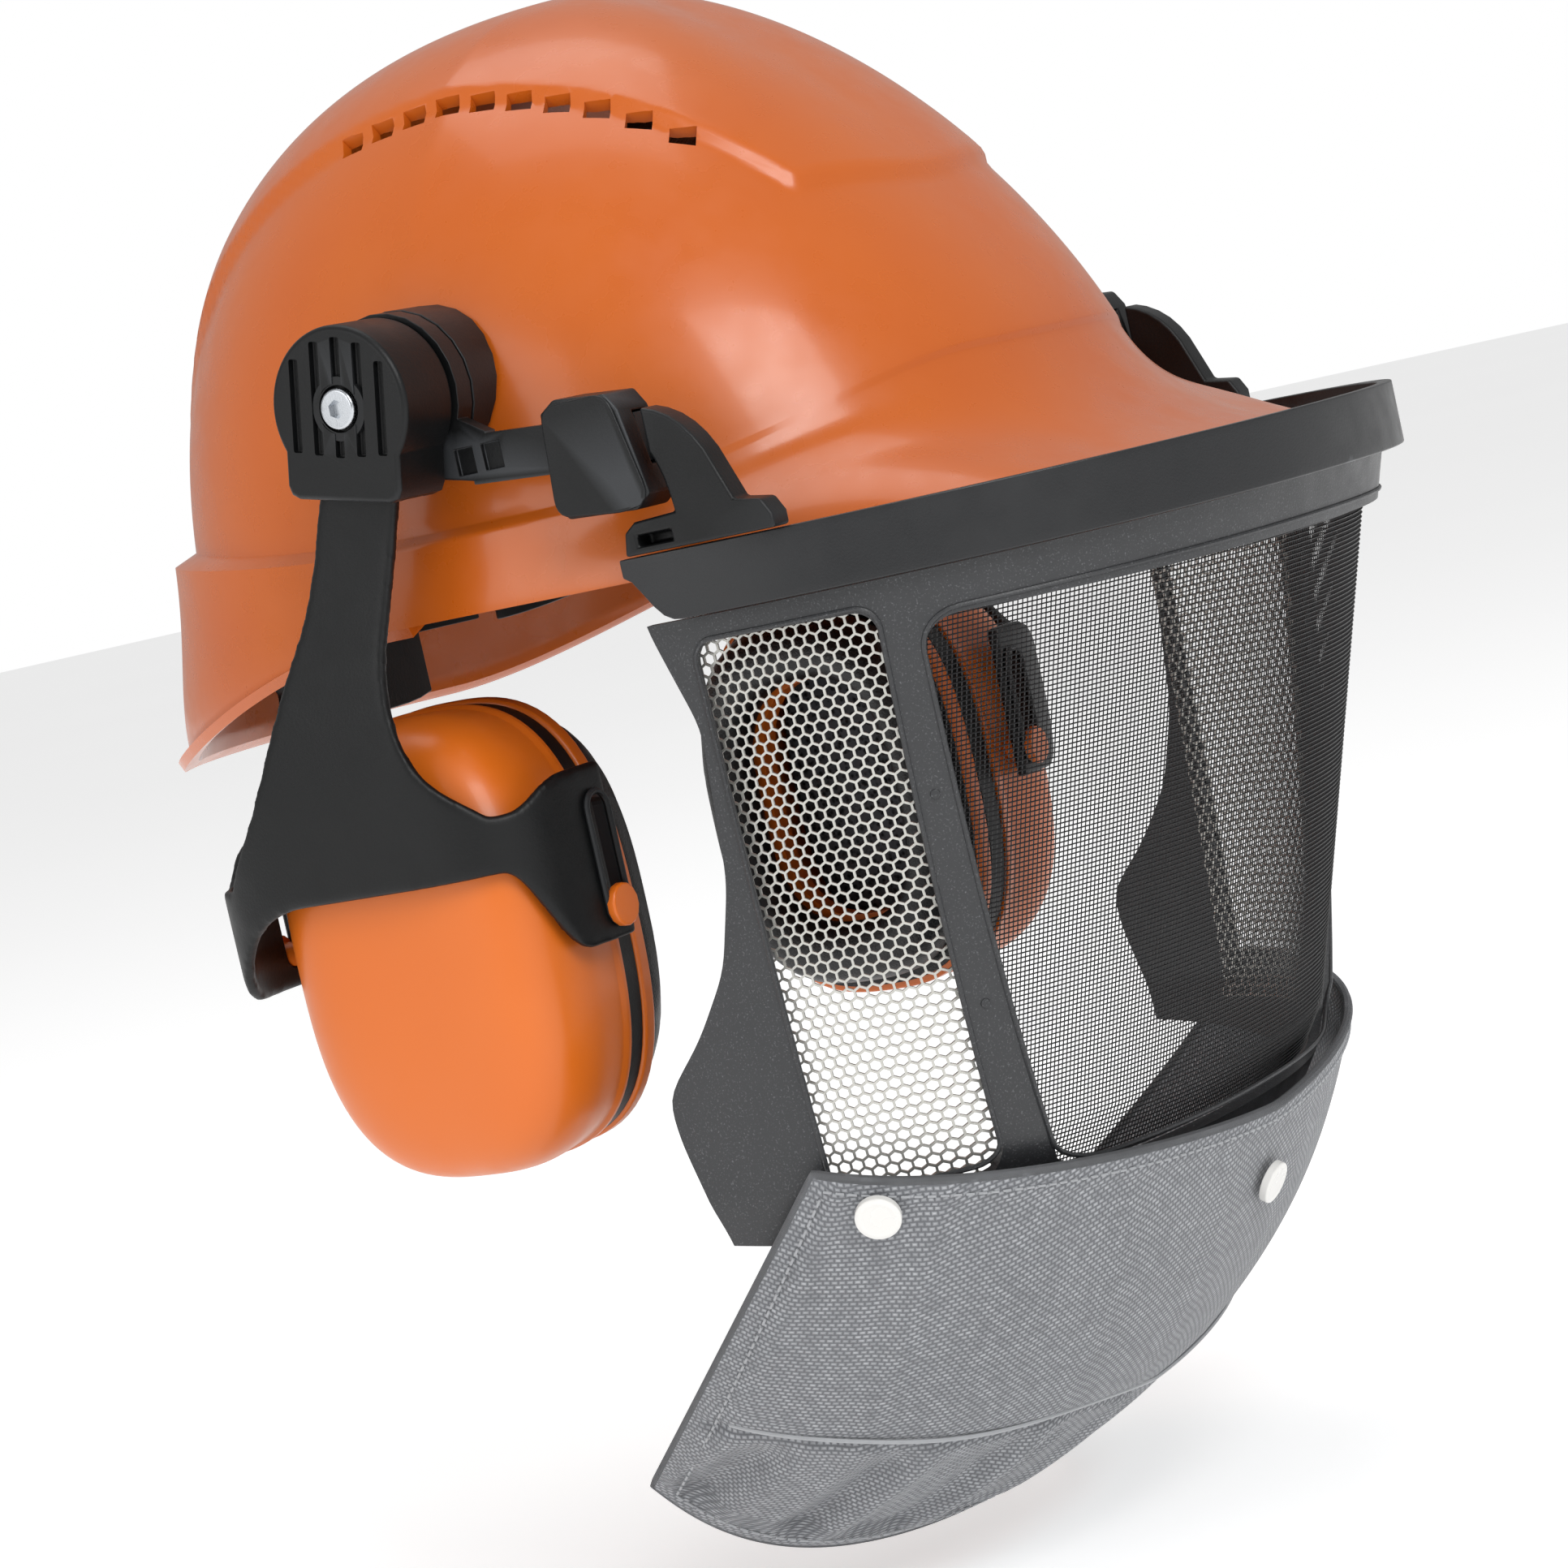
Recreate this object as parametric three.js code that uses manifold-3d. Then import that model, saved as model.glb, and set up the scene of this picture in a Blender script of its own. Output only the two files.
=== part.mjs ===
// A forestry helmet with a swing-up mesh visor, a neck bib and a pair of ear muffs.
// Millimetres, +Z up. The wearer looks along -Y, and the wearer's left is +X.
// The origin is at the wearer's head, level with the shell's lower edge at the ears.

import * as THREE from "three";
import { mergeVertices } from "three/addons/utils/BufferGeometryUtils.js";
import Module from "manifold-3d";

const wasm = await Module();
wasm.setup();

const { abs, sin, cos, atan, atan2, acos, hypot, max, min, sign, PI } = Math;
const { lerp, clamp, smoothstep, degToRad } = THREE.MathUtils;

// ---- Driving dimensions ----

const GAP = 0.4; // between neighbouring pieces

const DOME = {
  halfWidth: 106,
  front: 122,
  rear: 124,
  height: 136.5,
  planPower: 2.23,
  frontPower: 1.5,
  sidePower: 2.3,
  rearPower: 2.5,
  centreY: -6.5,
  crownShift: -3,
};
const WALL = 2.6;
const PEAK = { reach: 164.5, halfWidth: 109, power: 2.6, tipZ: -1, rootZ: 36 };
const SKIRT = { reach: 140, dropZ: -22.5, sideStep: 2, rearStep: 6, ledge: 2.4, lip: 3.5 };
const PANEL = { lift: 2.2, halfWidth: 65.2, frontY: -92.8, rearY: 95 };
const VENT = { count: 10, firstY: 16.8, lastY: -63.9, length: 6, width: 5, depth: 16 };

const BAND = { halfWidth: 77, front: 98, rear: 102, centreY: -4, power: 2.2, wall: 2, height: 28 };
const CLIP = { angles: [32, 90, 148], width: 18, topZ: 30, tabZ: 15, wall: 2.5, gap: 2.8 };
const STRAP = {
  width: 18,
  wall: 1,
  footZ: 30.6,
  crownZ: 102,
  rise: 2.5,
  inset: 6,
  frontPower: 1.75,
  rearPower: 2.2,
};
const NAPE = { y: 106, z: -11, width: 44, height: 26, depth: 13, wall: 2 };
const KNOB = { radius: 15, depth: 10, ribs: 14, pinion: 3.8 };
const RACK = { height: 5, wall: 1.6, inner: 9, outer: 40 };

const HUB = { y: -11.5, z: 51, radius: 18.4, socketX: 109.6, ringX: 115.4, capX: 134, chinZ: 30.5 };
const SCREW = { shaft: 2.6, head: 4.6 };
const STRIP = { y: -75, slope: degToRad(4), height: 11, wall: 4, z: 33.8 };
const SLIDER = { y: -66, z: 29, length: 25, height: 27, outerX: 121.5 };
const BAR = {
  halfWidth: 118,
  reach: 119.8,
  rearY: -64.5,
  wall: 3,
  frontWall: 5,
  power: 2.2,
  low: -9.5,
  high: 5.5,
};
const VISOR = {
  topZ: -9.9,
  sideZ: -150,
  frontZ: -163,
  topHalfWidth: 113.5,
  lowHalfWidth: 110.5,
  topFront: -178,
  lowFront: -131.5,
  topRear: -66,
  lowRear: -40,
  power: 2.25,
  wall: 2.5,
  mesh: 0.8,
  tuckZ: -140,
  tuck: 0.35,
};
const BIB = { wall: 2, power: 2.1, snapRadius: 5 };

const CUP = { x: 100, y: 13, z: -74, halfLength: 38.5, halfHeight: 54, power: 2.8, lean: 0.1 };
const ARM_LEAN = degToRad(12);
const FOLD = { x: 125, z: 33.5, knuckle: 2.6, halfLength: 11.5 };
const SADDLE = { front: -31, rear: 67, outer: 134.3, end: 94, wall: 3, power: 3.4 };
const SLOT = { lowZ: -74.5, highZ: -45, width: 7 };
const PIN = { x: 100, z: -71, radius: 3, head: 5 };

// ---- Finishes ----

function finish(color, roughness, metalness = 0) {
  return new THREE.MeshStandardMaterial({ color, roughness, metalness, flatShading: true });
}

const FINISH = {
  shell: finish("#dd5f22", 0.28),
  cup: finish("#f0641e", 0.32),
  black: finish("#1f2022", 0.45),
  grey: finish("#3a3b3c", 0.6),
  steel: finish("#a9abad", 0.35, 1),
  wire: finish("#26272a", 0.5, 0.6),
  canvas: finish("#7b7d80", 0.9),
  webbing: finish("#2b2c2f", 0.85),
  padding: finish("#2a2422", 0.8),
  foam: finish("#3c3d40", 0.95),
  snap: finish("#e9e8e4", 0.3),
};

// ---- Solids ----

function bare(geometry) {
  geometry.deleteAttribute("normal");
  geometry.deleteAttribute("uv");
  return mergeVertices(geometry);
}

function signedVolume(geometry) {
  const position = geometry.getAttribute("position");
  const corners = [0, 1, 2].map(() => new THREE.Vector3());
  let total = 0;
  for (let i = 0; i < geometry.index.count; i += 3) {
    corners.forEach((corner, k) => corner.fromBufferAttribute(position, geometry.index.getX(i + k)));
    total += corners[0].dot(corners[1].cross(corners[2]));
  }
  return total;
}

// Turns every face of a solid round when they point inwards.
function facingOut(geometry) {
  if (signedVolume(geometry) < 0) {
    const index = Array.from(geometry.index.array);
    geometry.setIndex(index.reverse());
  }
  return geometry;
}

// Moves every vertex of a geometry to where a function of its place says.
function warp(geometry, place) {
  const solid = bare(geometry.clone());
  const position = solid.getAttribute("position");
  for (let i = 0; i < position.count; i++) {
    const to = place(position.getX(i), position.getY(i), position.getZ(i));
    position.setXYZ(i, ...to);
  }
  return facingOut(solid);
}

// A plate of columns by rows cells, each vertex placed by its u, v and depth w from 0 to 1.
function plate(columns, rows, place) {
  const box = new THREE.BoxGeometry(1, 1, 1, columns, rows, 1);
  return warp(box, (x, y, z) => place(x + 0.5, y + 0.5, z + 0.5));
}

// A profile of radii and heights turned round an axis, placed by angle, radius and height.
function turned(profile, segments, place) {
  const lathe = new THREE.LatheGeometry(
    profile.map(([radius, height]) => new THREE.Vector2(radius, height)),
    segments,
  );
  return warp(lathe, (x, y, z) => place(atan2(x, z), hypot(x, z), y));
}

// An outline in Y and Z, extruded along X from one face to the other.
function slabAlongX(shape, fromX, toX) {
  const body = new THREE.ExtrudeGeometry(shape, { depth: toX - fromX, bevelEnabled: false, curveSegments: 6 });
  return warp(body, (y, z, x) => [x + fromX, y, z]);
}

function block(low, high) {
  const size = high.map((value, i) => value - low[i]);
  const centre = high.map((value, i) => (value + low[i]) / 2);
  return bare(new THREE.BoxGeometry(...size).translate(...centre));
}

function rodAlongX(y, z, radius, fromX, toX, sides = 20) {
  const rod = new THREE.CylinderGeometry(radius, radius, toX - fromX, sides);
  return bare(rod.rotateZ(PI / 2).translate((fromX + toX) / 2, y, z));
}

function rodAlongY(x, z, radius, fromY, toY, sides = 16) {
  const rod = new THREE.CylinderGeometry(radius, radius, toY - fromY, sides);
  return bare(rod.translate(x, (fromY + toY) / 2, z));
}

function solidOf(geometry) {
  return new wasm.Manifold(
    new wasm.Mesh({
      numProp: 3,
      vertProperties: geometry.getAttribute("position").array,
      triVerts: new Uint32Array(geometry.index.array),
    }),
  );
}

function geometryOf(solid) {
  const mesh = solid.getMesh();
  const geometry = new THREE.BufferGeometry();
  geometry.setAttribute("position", new THREE.BufferAttribute(Float32Array.from(mesh.vertProperties), 3));
  geometry.setIndex(Array.from(mesh.triVerts));
  return geometry;
}

function joined(first, ...others) {
  const sum = others.reduce((body, other) => body.add(solidOf(other)), solidOf(first));
  return geometryOf(sum);
}

function cut(body, ...tools) {
  const rest = tools.reduce((left, tool) => left.subtract(solidOf(tool)), solidOf(body));
  return geometryOf(rest);
}

function mirrored(geometry) {
  return warp(geometry, (x, y, z) => [-x, y, z]);
}

// ---- Plan curves ----

// The point of a superellipse of half-sizes a and b, by its angle from the b axis.
function superellipse(angle, a, b, power) {
  const reach = (abs(sin(angle)) ** power + abs(cos(angle)) ** power) ** (-1 / power);
  return [a * reach * sin(angle), b * reach * cos(angle)];
}

// The distance from the centre to a superellipse along a true angle from the b axis.
function reachAt(angle, a, b, power) {
  return (abs(sin(angle) / a) ** power + abs(cos(angle) / b) ** power) ** (-1 / power);
}

// A U in plan that is open to the rear: turn is 0 at the front and +-90 where the sides end.
function uCurve(turn, halfWidth, front, rear, power) {
  const bend = degToRad(clamp(turn, -90, 90));
  const straight = 2 * max(abs(turn) - 90, 0);
  const x = sign(bend) * halfWidth * abs(sin(bend)) ** (2 / power);
  const y = rear - (rear - front) * max(cos(bend), 0) ** (2 / power);
  return [x, y + straight];
}

// The turn at which the same U reaches a given Y.
function turnAtY(y, front, rear, power) {
  if (y >= rear) {
    return 90 + (y - rear) / 2;
  }
  return THREE.MathUtils.radToDeg(acos(((rear - y) / (rear - front)) ** (power / 2)));
}

// A smooth value between the nearest two of a list of [key, value] points.
function between(points, key) {
  const last = points.findIndex(([edge]) => edge <= key);
  if (last === 0) {
    return points[0][1];
  }
  if (last < 0) {
    return points[points.length - 1][1];
  }
  const [[k0, v0], [k1, v1]] = [points[last - 1], points[last]];
  return lerp(v0, v1, smoothstep((key - k0) / (k1 - k0), 0, 1));
}

// ---- Shell ----

function domePower(theta) {
  const forward = cos(theta);
  const front = max(forward, 0) * (DOME.frontPower - DOME.sidePower);
  const rear = max(-forward, 0) * (DOME.rearPower - DOME.sidePower);
  return DOME.sidePower + front + rear;
}

// A point of the dome: theta is 0 at the front and 90 degrees at the wearer's left.
function domePoint(theta, rise) {
  const depth = cos(theta) > 0 ? DOME.front : DOME.rear;
  const power = domePower(theta);
  const spread = (cos(rise) ** power + sin(rise) ** power) ** (-1 / power);
  const [x, y] = superellipse(theta, DOME.halfWidth, depth, DOME.planPower);
  const wide = cos(rise) * spread;
  const high = sin(rise) * spread;
  return new THREE.Vector3(x * wide, DOME.centreY + DOME.crownShift * high - y * wide, DOME.height * high);
}

// The rise at which the dome passes a height.
function riseAtHeight(theta, z) {
  const power = domePower(theta);
  const part = (z / DOME.height) ** power;
  return atan((part / (1 - part)) ** (1 / power));
}

// The half-width of the raised crown panel at a Y.
function panelHalfWidth(y) {
  return PANEL.halfWidth + 0.105 * y - 0.0016 * y * y;
}

// How far the crown panel lifts the dome at a place in plan.
function panelLift(x, y) {
  const side = panelHalfWidth(y) - abs(x);
  const front = y - PANEL.frontY - 9.5 * (x / 47.4) ** 2;
  const edge = smoothstep(min(side, front), -1.5, 1.5);
  return PANEL.lift * edge * (1 - smoothstep(y, PANEL.rearY - 25, PANEL.rearY));
}

function crownPoint(theta, rise) {
  const point = domePoint(theta, rise);
  const outward = new THREE.Vector3(point.x, point.y - DOME.centreY, point.z - 20).normalize();
  const lift = point.z > 60 ? panelLift(point.x, point.y) : 0;
  return point.addScaledVector(outward, lift);
}

// The outer surface: run is 0 at the crown, 1 at the ledge, 2 at the free edge and 2.1 past its lip.
function shellPoint(theta, run) {
  const turn = abs(theta);
  const peak = 1 - smoothstep(turn, degToRad(20), degToRad(75));
  const nape = smoothstep(turn, degToRad(90), degToRad(150));
  const ledgeZ = lerp(lerp(20, 27, nape), PEAK.rootZ, peak);
  const rise = riseAtHeight(theta, ledgeZ);
  if (run <= 1) {
    return crownPoint(theta, lerp(PI / 2, rise, run));
  }
  const foot = domePoint(theta, rise);
  const slope = domePoint(theta, rise - 0.02).sub(foot).normalize();
  const outward = new THREE.Vector3(foot.x, foot.y - DOME.centreY, 0).normalize();
  const step = lerp(SKIRT.sideStep, SKIRT.rearStep, nape) * (1 - peak);
  const ledge = foot.clone().addScaledVector(outward, step);
  ledge.z -= SKIRT.ledge;
  if (run <= 1.15) {
    return foot.lerp(ledge, (run - 1) / 0.15);
  }
  const forward = cos(theta) > 0;
  const [reach, power] = forward ? [PEAK.reach, PEAK.power] : [SKIRT.reach, DOME.planPower];
  const [x, y] = superellipse(theta, PEAK.halfWidth, reach, power);
  const edgeZ = PEAK.tipZ * peak + SKIRT.dropZ * smoothstep(turn, degToRad(95), degToRad(150));
  const edge = new THREE.Vector3(x, DOME.centreY - y, edgeZ);
  const drop = ledge.z - edgeZ;
  const leave = new THREE.Vector3(0, 0, -1).lerp(outward.clone().setZ(-0.22), peak).normalize();
  const curve = new THREE.CubicBezierCurve3(
    ledge,
    ledge.clone().addScaledVector(slope, 0.45 * drop),
    edge.clone().addScaledVector(leave, -lerp(0.3 * drop, 36, peak)),
    edge,
  );
  const point = curve.getPoint(min((run - 1.15) / 0.85, 1));
  const lip = max(run - 2, 0) * 10 * nape;
  return point.addScaledVector(outward, SKIRT.lip * lip).setZ(point.z - 1.5 * lip);
}

function shellNormal(theta, run) {
  if (run < 0.03) {
    return new THREE.Vector3(0, 0, 1);
  }
  const along = shellPoint(theta, run + 0.02).sub(shellPoint(theta, run - 0.02));
  const across = shellPoint(theta + 0.01, run).sub(shellPoint(theta - 0.01, run));
  return along.cross(across).normalize();
}

// A box square to the dome where the crown panel's edge crosses a Y.
function ventTool(y) {
  const x = panelHalfWidth(y);
  const depth = y < DOME.centreY ? DOME.front : DOME.rear;
  const theta = atan2(x / DOME.halfWidth, -(y - DOME.centreY - DOME.crownShift) / depth);
  const spread = hypot(x, y - DOME.centreY - DOME.crownShift);
  let rise = PI / 4;
  for (let step = 0; step < 20; step++) {
    const point = domePoint(theta, rise);
    rise *= hypot(point.x, point.y - DOME.centreY - DOME.crownShift) / spread > 1 ? 1.03 : 0.975;
  }
  const centre = domePoint(theta, rise);
  const outward = new THREE.Vector3(centre.x, centre.y - DOME.centreY, centre.z - 20).normalize();
  const along = new THREE.Vector3(0, 1, 0).cross(outward).cross(outward).negate().normalize();
  const basis = new THREE.Matrix4().makeBasis(along, outward.clone().cross(along), outward);
  const tool = new THREE.BoxGeometry(VENT.length, VENT.width, VENT.depth);
  return bare(tool.applyMatrix4(basis.setPosition(centre)));
}

function shell() {
  const runs = [0, 0.16, 0.32, 0.46, 0.6, 0.74, 0.88, 1, 1.15, 1.36, 1.58, 1.8, 2, 2.1];
  const profile = [...runs.map((run) => [run, 1]), ...runs.toReversed().map((run) => [run, 0])];
  const blank = turned(profile, 56, (theta, run, layer) => {
    const point = shellPoint(theta, run);
    return point.addScaledVector(shellNormal(theta, run), -WALL * (1 - layer)).toArray();
  });
  const vents = Array.from({ length: VENT.count }, (_, i) => {
    return ventTool(lerp(VENT.firstY, VENT.lastY, i / (VENT.count - 1)));
  });
  return cut(blank, ...vents, ...vents.map(mirrored));
}

// ---- Cradle inside the shell ----

// The centre height of the headband: level round the brow, dropping towards the nape.
function bandZ(theta) {
  return 23 - 17 * smoothstep(abs(theta), degToRad(85), degToRad(150));
}

function bandPiece(sweep, inset, wall, height, columns) {
  return plate(columns, 1, (u, v, w) => {
    const theta = degToRad(lerp(-sweep, sweep, u));
    const shrink = inset + wall * (1 - w);
    const depth = abs(theta) < PI / 2 ? BAND.front : BAND.rear;
    const [x, y] = superellipse(theta, BAND.halfWidth - shrink, depth - shrink, BAND.power);
    return [x, BAND.centreY - y, bandZ(theta) + height * (v - 0.5)];
  });
}

// The distance from the cradle's axis to the inside of the shell, at a height.
function shellReach(angle, z) {
  const depth = abs(angle) < PI / 2 ? DOME.front : DOME.rear;
  const rise = riseAtHeight(angle, z);
  const power = domePower(angle);
  const wide = cos(rise) * (cos(rise) ** power + sin(rise) ** power) ** (-1 / power);
  return reachAt(angle, DOME.halfWidth * wide, depth * wide, DOME.planPower) - WALL;
}

// Places a piece made along +X out of the cradle's axis at an angle from the front.
function aroundCradle(geometry, angle) {
  return bare(geometry.clone().rotateZ(angle - PI / 2).translate(0, DOME.centreY, 0));
}

function clip(angle) {
  const wall = shellReach(angle, CLIP.topZ) - CLIP.gap;
  const depth = abs(angle) < PI / 2 ? BAND.front : BAND.rear;
  const band = reachAt(angle, BAND.halfWidth, depth, BAND.power) + 3.5;
  const upright = block([wall - CLIP.wall, -CLIP.width / 2, 8], [wall, CLIP.width / 2, CLIP.topZ]);
  const tab = block([band, -CLIP.width / 3, CLIP.tabZ - 3], [wall - 1, CLIP.width / 3, CLIP.tabZ]);
  return aroundCradle(joined(upright, tab), angle);
}

// A strap from one clip over the crown to the clip opposite.
function crownStrap(angle, level) {
  const reachFront = shellReach(angle, CLIP.topZ) - STRAP.inset;
  const reachRear = shellReach(PI - abs(angle), CLIP.topZ) - STRAP.inset;
  const top = STRAP.crownZ + STRAP.rise * level - STRAP.footZ;
  const strap = plate(20, 1, (u, v, w) => {
    const lean = lerp(-PI / 2, PI / 2, u);
    const reach = (lean > 0 ? reachFront : reachRear) - STRAP.wall * (1 - w);
    const power = lean > 0 ? STRAP.frontPower : STRAP.rearPower;
    const [along, up] = superellipse(lean, reach, top - STRAP.wall * (1 - w), power);
    return [along, STRAP.width * (v - 0.5), STRAP.footZ + up];
  });
  return aroundCradle(strap, angle);
}

function napeHousing() {
  const [halfWidth, halfHeight] = [NAPE.width / 2, NAPE.height / 2];
  const front = NAPE.y - NAPE.depth / 2;
  const rear = NAPE.y + NAPE.depth / 2;
  const body = plate(8, 2, (u, v, w) => {
    const x = lerp(-halfWidth, halfWidth, u);
    const taper = 1 - 0.12 * (2 * u - 1) ** 4;
    return [x, lerp(front, rear, w), NAPE.z + halfHeight * taper * (2 * v - 1)];
  });
  const room = halfHeight - 3.2;
  const channel = block(
    [-halfWidth - 1, front + NAPE.wall, NAPE.z - room],
    [halfWidth + 1, rear - NAPE.wall, NAPE.z + room],
  );
  return cut(body, channel, rodAlongY(0, NAPE.z, 3.4, NAPE.y, rear + 1));
}

// A ribbed wheel along +Y: a circle whose radius rises and falls with its ribs.
function ribbedWheel(radius, ribDepth, ribs, fromY, toY) {
  const rim = new THREE.Shape();
  const steps = ribs * 4;
  for (let i = 0; i < steps; i++) {
    const angle = (2 * PI * i) / steps;
    const reach = radius - ribDepth * (0.5 - 0.5 * cos(ribs * angle));
    rim[i ? "lineTo" : "moveTo"](reach * cos(angle), reach * sin(angle));
  }
  const wheel = new THREE.ExtrudeGeometry(rim, { depth: toY - fromY, bevelEnabled: false });
  return warp(wheel, (x, z, y) => [x, y + fromY, z + NAPE.z]);
}

function rackTail(side) {
  const y = NAPE.y - RACK.wall / 2;
  const z = NAPE.z + side * (KNOB.pinion + GAP + RACK.height / 2);
  return plate(8, 1, (u, v, w) => {
    const along = lerp(-RACK.inner, RACK.outer, u);
    const pull = 13 * smoothstep(along, NAPE.width / 2 + 7, RACK.outer);
    return [side * along, y + RACK.wall * w - pull, z + RACK.height * (v - 0.5)];
  });
}

// ---- Hub, visor carrier and visor, made for the wearer's left ----

function hubSocket() {
  const disc = rodAlongX(HUB.y, HUB.z, HUB.radius + 1, 92, HUB.socketX, 24);
  const shellSpace = turned(
    [[0, 1], [0.3, 1], [0.5, 1], [0.65, 1], [0.75, 1], [0.84, 1], [0.92, 1], [1, 1], [1, 0], [0, 0]],
    96,
    (theta, run, layer) => {
      const point = layer > 0.5 ? domePoint(theta, lerp(PI / 2, 0.05, run)) : new THREE.Vector3(0, 0, -5);
      if (layer <= 0.5 && run > 0) {
        point.copy(domePoint(theta, 0)).setZ(-5);
      }
      return [point.x * 1.012, point.y * 1.012, point.z * 1.012];
    },
  );
  const bore = rodAlongX(HUB.y, HUB.z, SCREW.shaft + GAP, 90, HUB.socketX + 1, 12);
  return cut(disc, shellSpace, bore);
}

function hubScrew() {
  const shaft = rodAlongX(HUB.y, HUB.z, SCREW.shaft, 104.5, HUB.capX - 1, 12);
  const head = rodAlongX(HUB.y, HUB.z, SCREW.head, HUB.capX - 1.5, HUB.capX + 0.6, 16);
  return joined(shaft, head);
}

// The carrier turns round the hub and reaches forward as a flat strip.
function visorCarrier() {
  const inner = HUB.socketX + GAP;
  const ring = rodAlongX(HUB.y, HUB.z, HUB.radius + 0.8, inner, HUB.ringX, 24);
  const neck = new THREE.Shape();
  neck.moveTo(HUB.y - 8, HUB.z - 2);
  neck.lineTo(HUB.y - 24, STRIP.z + STRIP.height / 2);
  neck.lineTo(HUB.y - 22, STRIP.z - STRIP.height / 2);
  neck.lineTo(HUB.y - 2, HUB.z - HUB.radius);
  const web = slabAlongX(neck, HUB.ringX - STRIP.wall, HUB.ringX);
  const strip = plate(4, 1, (u, v, w) => {
    const y = lerp(HUB.y - 18, STRIP.y, u);
    const drop = (HUB.y - 18 - y) * Math.tan(STRIP.slope);
    return [HUB.ringX - STRIP.wall * (1 - w), y, STRIP.z - drop + STRIP.height * (v - 0.5)];
  });
  const windows = [-28.5, -36].map((y) => {
    return block([HUB.ringX - 1.2, y - 2.5, STRIP.z - 3], [HUB.ringX + 1, y + 2.5, STRIP.z + 3]);
  });
  const bore = rodAlongX(HUB.y, HUB.z, SCREW.shaft + GAP, inner - 1, HUB.ringX + 1, 12);
  return cut(joined(ring, web, strip), bore, ...windows);
}

function sliderPlate() {
  const [halfLength, halfHeight] = [SLIDER.length / 2, SLIDER.height / 2];
  const outline = new THREE.Shape();
  outline.moveTo(SLIDER.y - halfLength, SLIDER.z - halfHeight + 3);
  outline.lineTo(SLIDER.y - halfLength + 4, SLIDER.z - halfHeight);
  outline.lineTo(SLIDER.y + halfLength - 3, SLIDER.z - halfHeight + 1);
  outline.lineTo(SLIDER.y + halfLength, SLIDER.z - halfHeight + 5);
  outline.lineTo(SLIDER.y + halfLength - 1.5, SLIDER.z + halfHeight - 2.5);
  outline.lineTo(SLIDER.y + halfLength - 5.5, SLIDER.z + halfHeight);
  outline.lineTo(SLIDER.y - halfLength + 6, SLIDER.z + halfHeight - 1.2);
  outline.lineTo(SLIDER.y - halfLength + 3.5, SLIDER.z + halfHeight - 5);
  const body = slabAlongX(outline, HUB.ringX - STRIP.wall - 2.4, SLIDER.outerX);
  const channel = plate(1, 1, (u, v, w) => {
    const y = lerp(SLIDER.y + halfLength + 4, SLIDER.y - halfLength - 4, u);
    const drop = (HUB.y - 18 - y) * Math.tan(STRIP.slope);
    const x = lerp(HUB.ringX - STRIP.wall - GAP, HUB.ringX + GAP, w);
    return [x, y, STRIP.z - drop + (STRIP.height + 2 * GAP) * (v - 0.5)];
  });
  return cut(body, channel);
}

// The arm drops from the slider to a shoe on top of the brow bar.
function visorArm() {
  const arm = new THREE.Shape();
  const start = SLIDER.y - SLIDER.length / 2 - GAP;
  arm.moveTo(start, 36.8);
  arm.quadraticCurveTo(-90, 34, -94.5, 21);
  arm.lineTo(-97.5, 13.5);
  arm.lineTo(-104, 12.5);
  arm.lineTo(-106, 9);
  arm.lineTo(-106, BAR.high + GAP);
  arm.lineTo(-67, BAR.high + GAP);
  arm.lineTo(-68, 11);
  arm.lineTo(-71, 13);
  arm.lineTo(-82, 13.5);
  arm.quadraticCurveTo(-81.5, 22, start, 27);
  const body = slabAlongX(arm, 112.2, 119);
  const slot = block([113.5, -80, 7.5], [120, -71, 10]);
  return cut(body, slot);
}

function browBar() {
  return plate(36, 1, (u, v, w) => {
    const theta = lerp(-PI / 2, PI / 2, u);
    const halfWidth = BAR.halfWidth - BAR.wall * (1 - w);
    const [x, y] = superellipse(theta, halfWidth, BAR.reach - BAR.frontWall * (1 - w), BAR.power);
    return [x, BAR.rearY - y, lerp(BAR.low, BAR.high, v)];
  });
}

// A point of the visor's curved face: turn 0 at the front, inset measured inwards.
function visorPoint(turn, z, inset) {
  const down = (VISOR.topZ - z) / (VISOR.topZ - VISOR.sideZ);
  const tuck = VISOR.tuck * max(VISOR.tuckZ - z, 0);
  const halfWidth = lerp(VISOR.topHalfWidth, VISOR.lowHalfWidth, down) - 0.6 * tuck - inset;
  const front = lerp(VISOR.topFront, VISOR.lowFront, down) + tuck + inset;
  const [x, y] = uCurve(turn, halfWidth, front, lerp(VISOR.topRear, VISOR.lowRear, down), VISOR.power);
  return [x, y, z];
}

function visorTurnAtY(y, z) {
  const down = (VISOR.topZ - z) / (VISOR.topZ - VISOR.sideZ);
  const front = lerp(VISOR.topFront, VISOR.lowFront, down);
  return turnAtY(y, front, lerp(VISOR.topRear, VISOR.lowRear, down), VISOR.power);
}

// The rear edge of the frame's side, from the brow bar down, as Z and Y.
const VISOR_REAR = [
  [-9.9, -64.5],
  [-34, -72.3],
  [-68, -69.4],
  [-88, -63],
  [-103, -52.3],
  [-114, -41],
  [-124, -41.5],
  [-150, -48],
];
// The long edges of the side window and of the front window.
const SIDE_WINDOW = { rearY: -75, frontY: [-117, -107], highZ: -15, lowZ: -142 };
const FRONT_WINDOW = { edgeY: [-124, -114], highZ: -19, lowZ: -148 };

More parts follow.
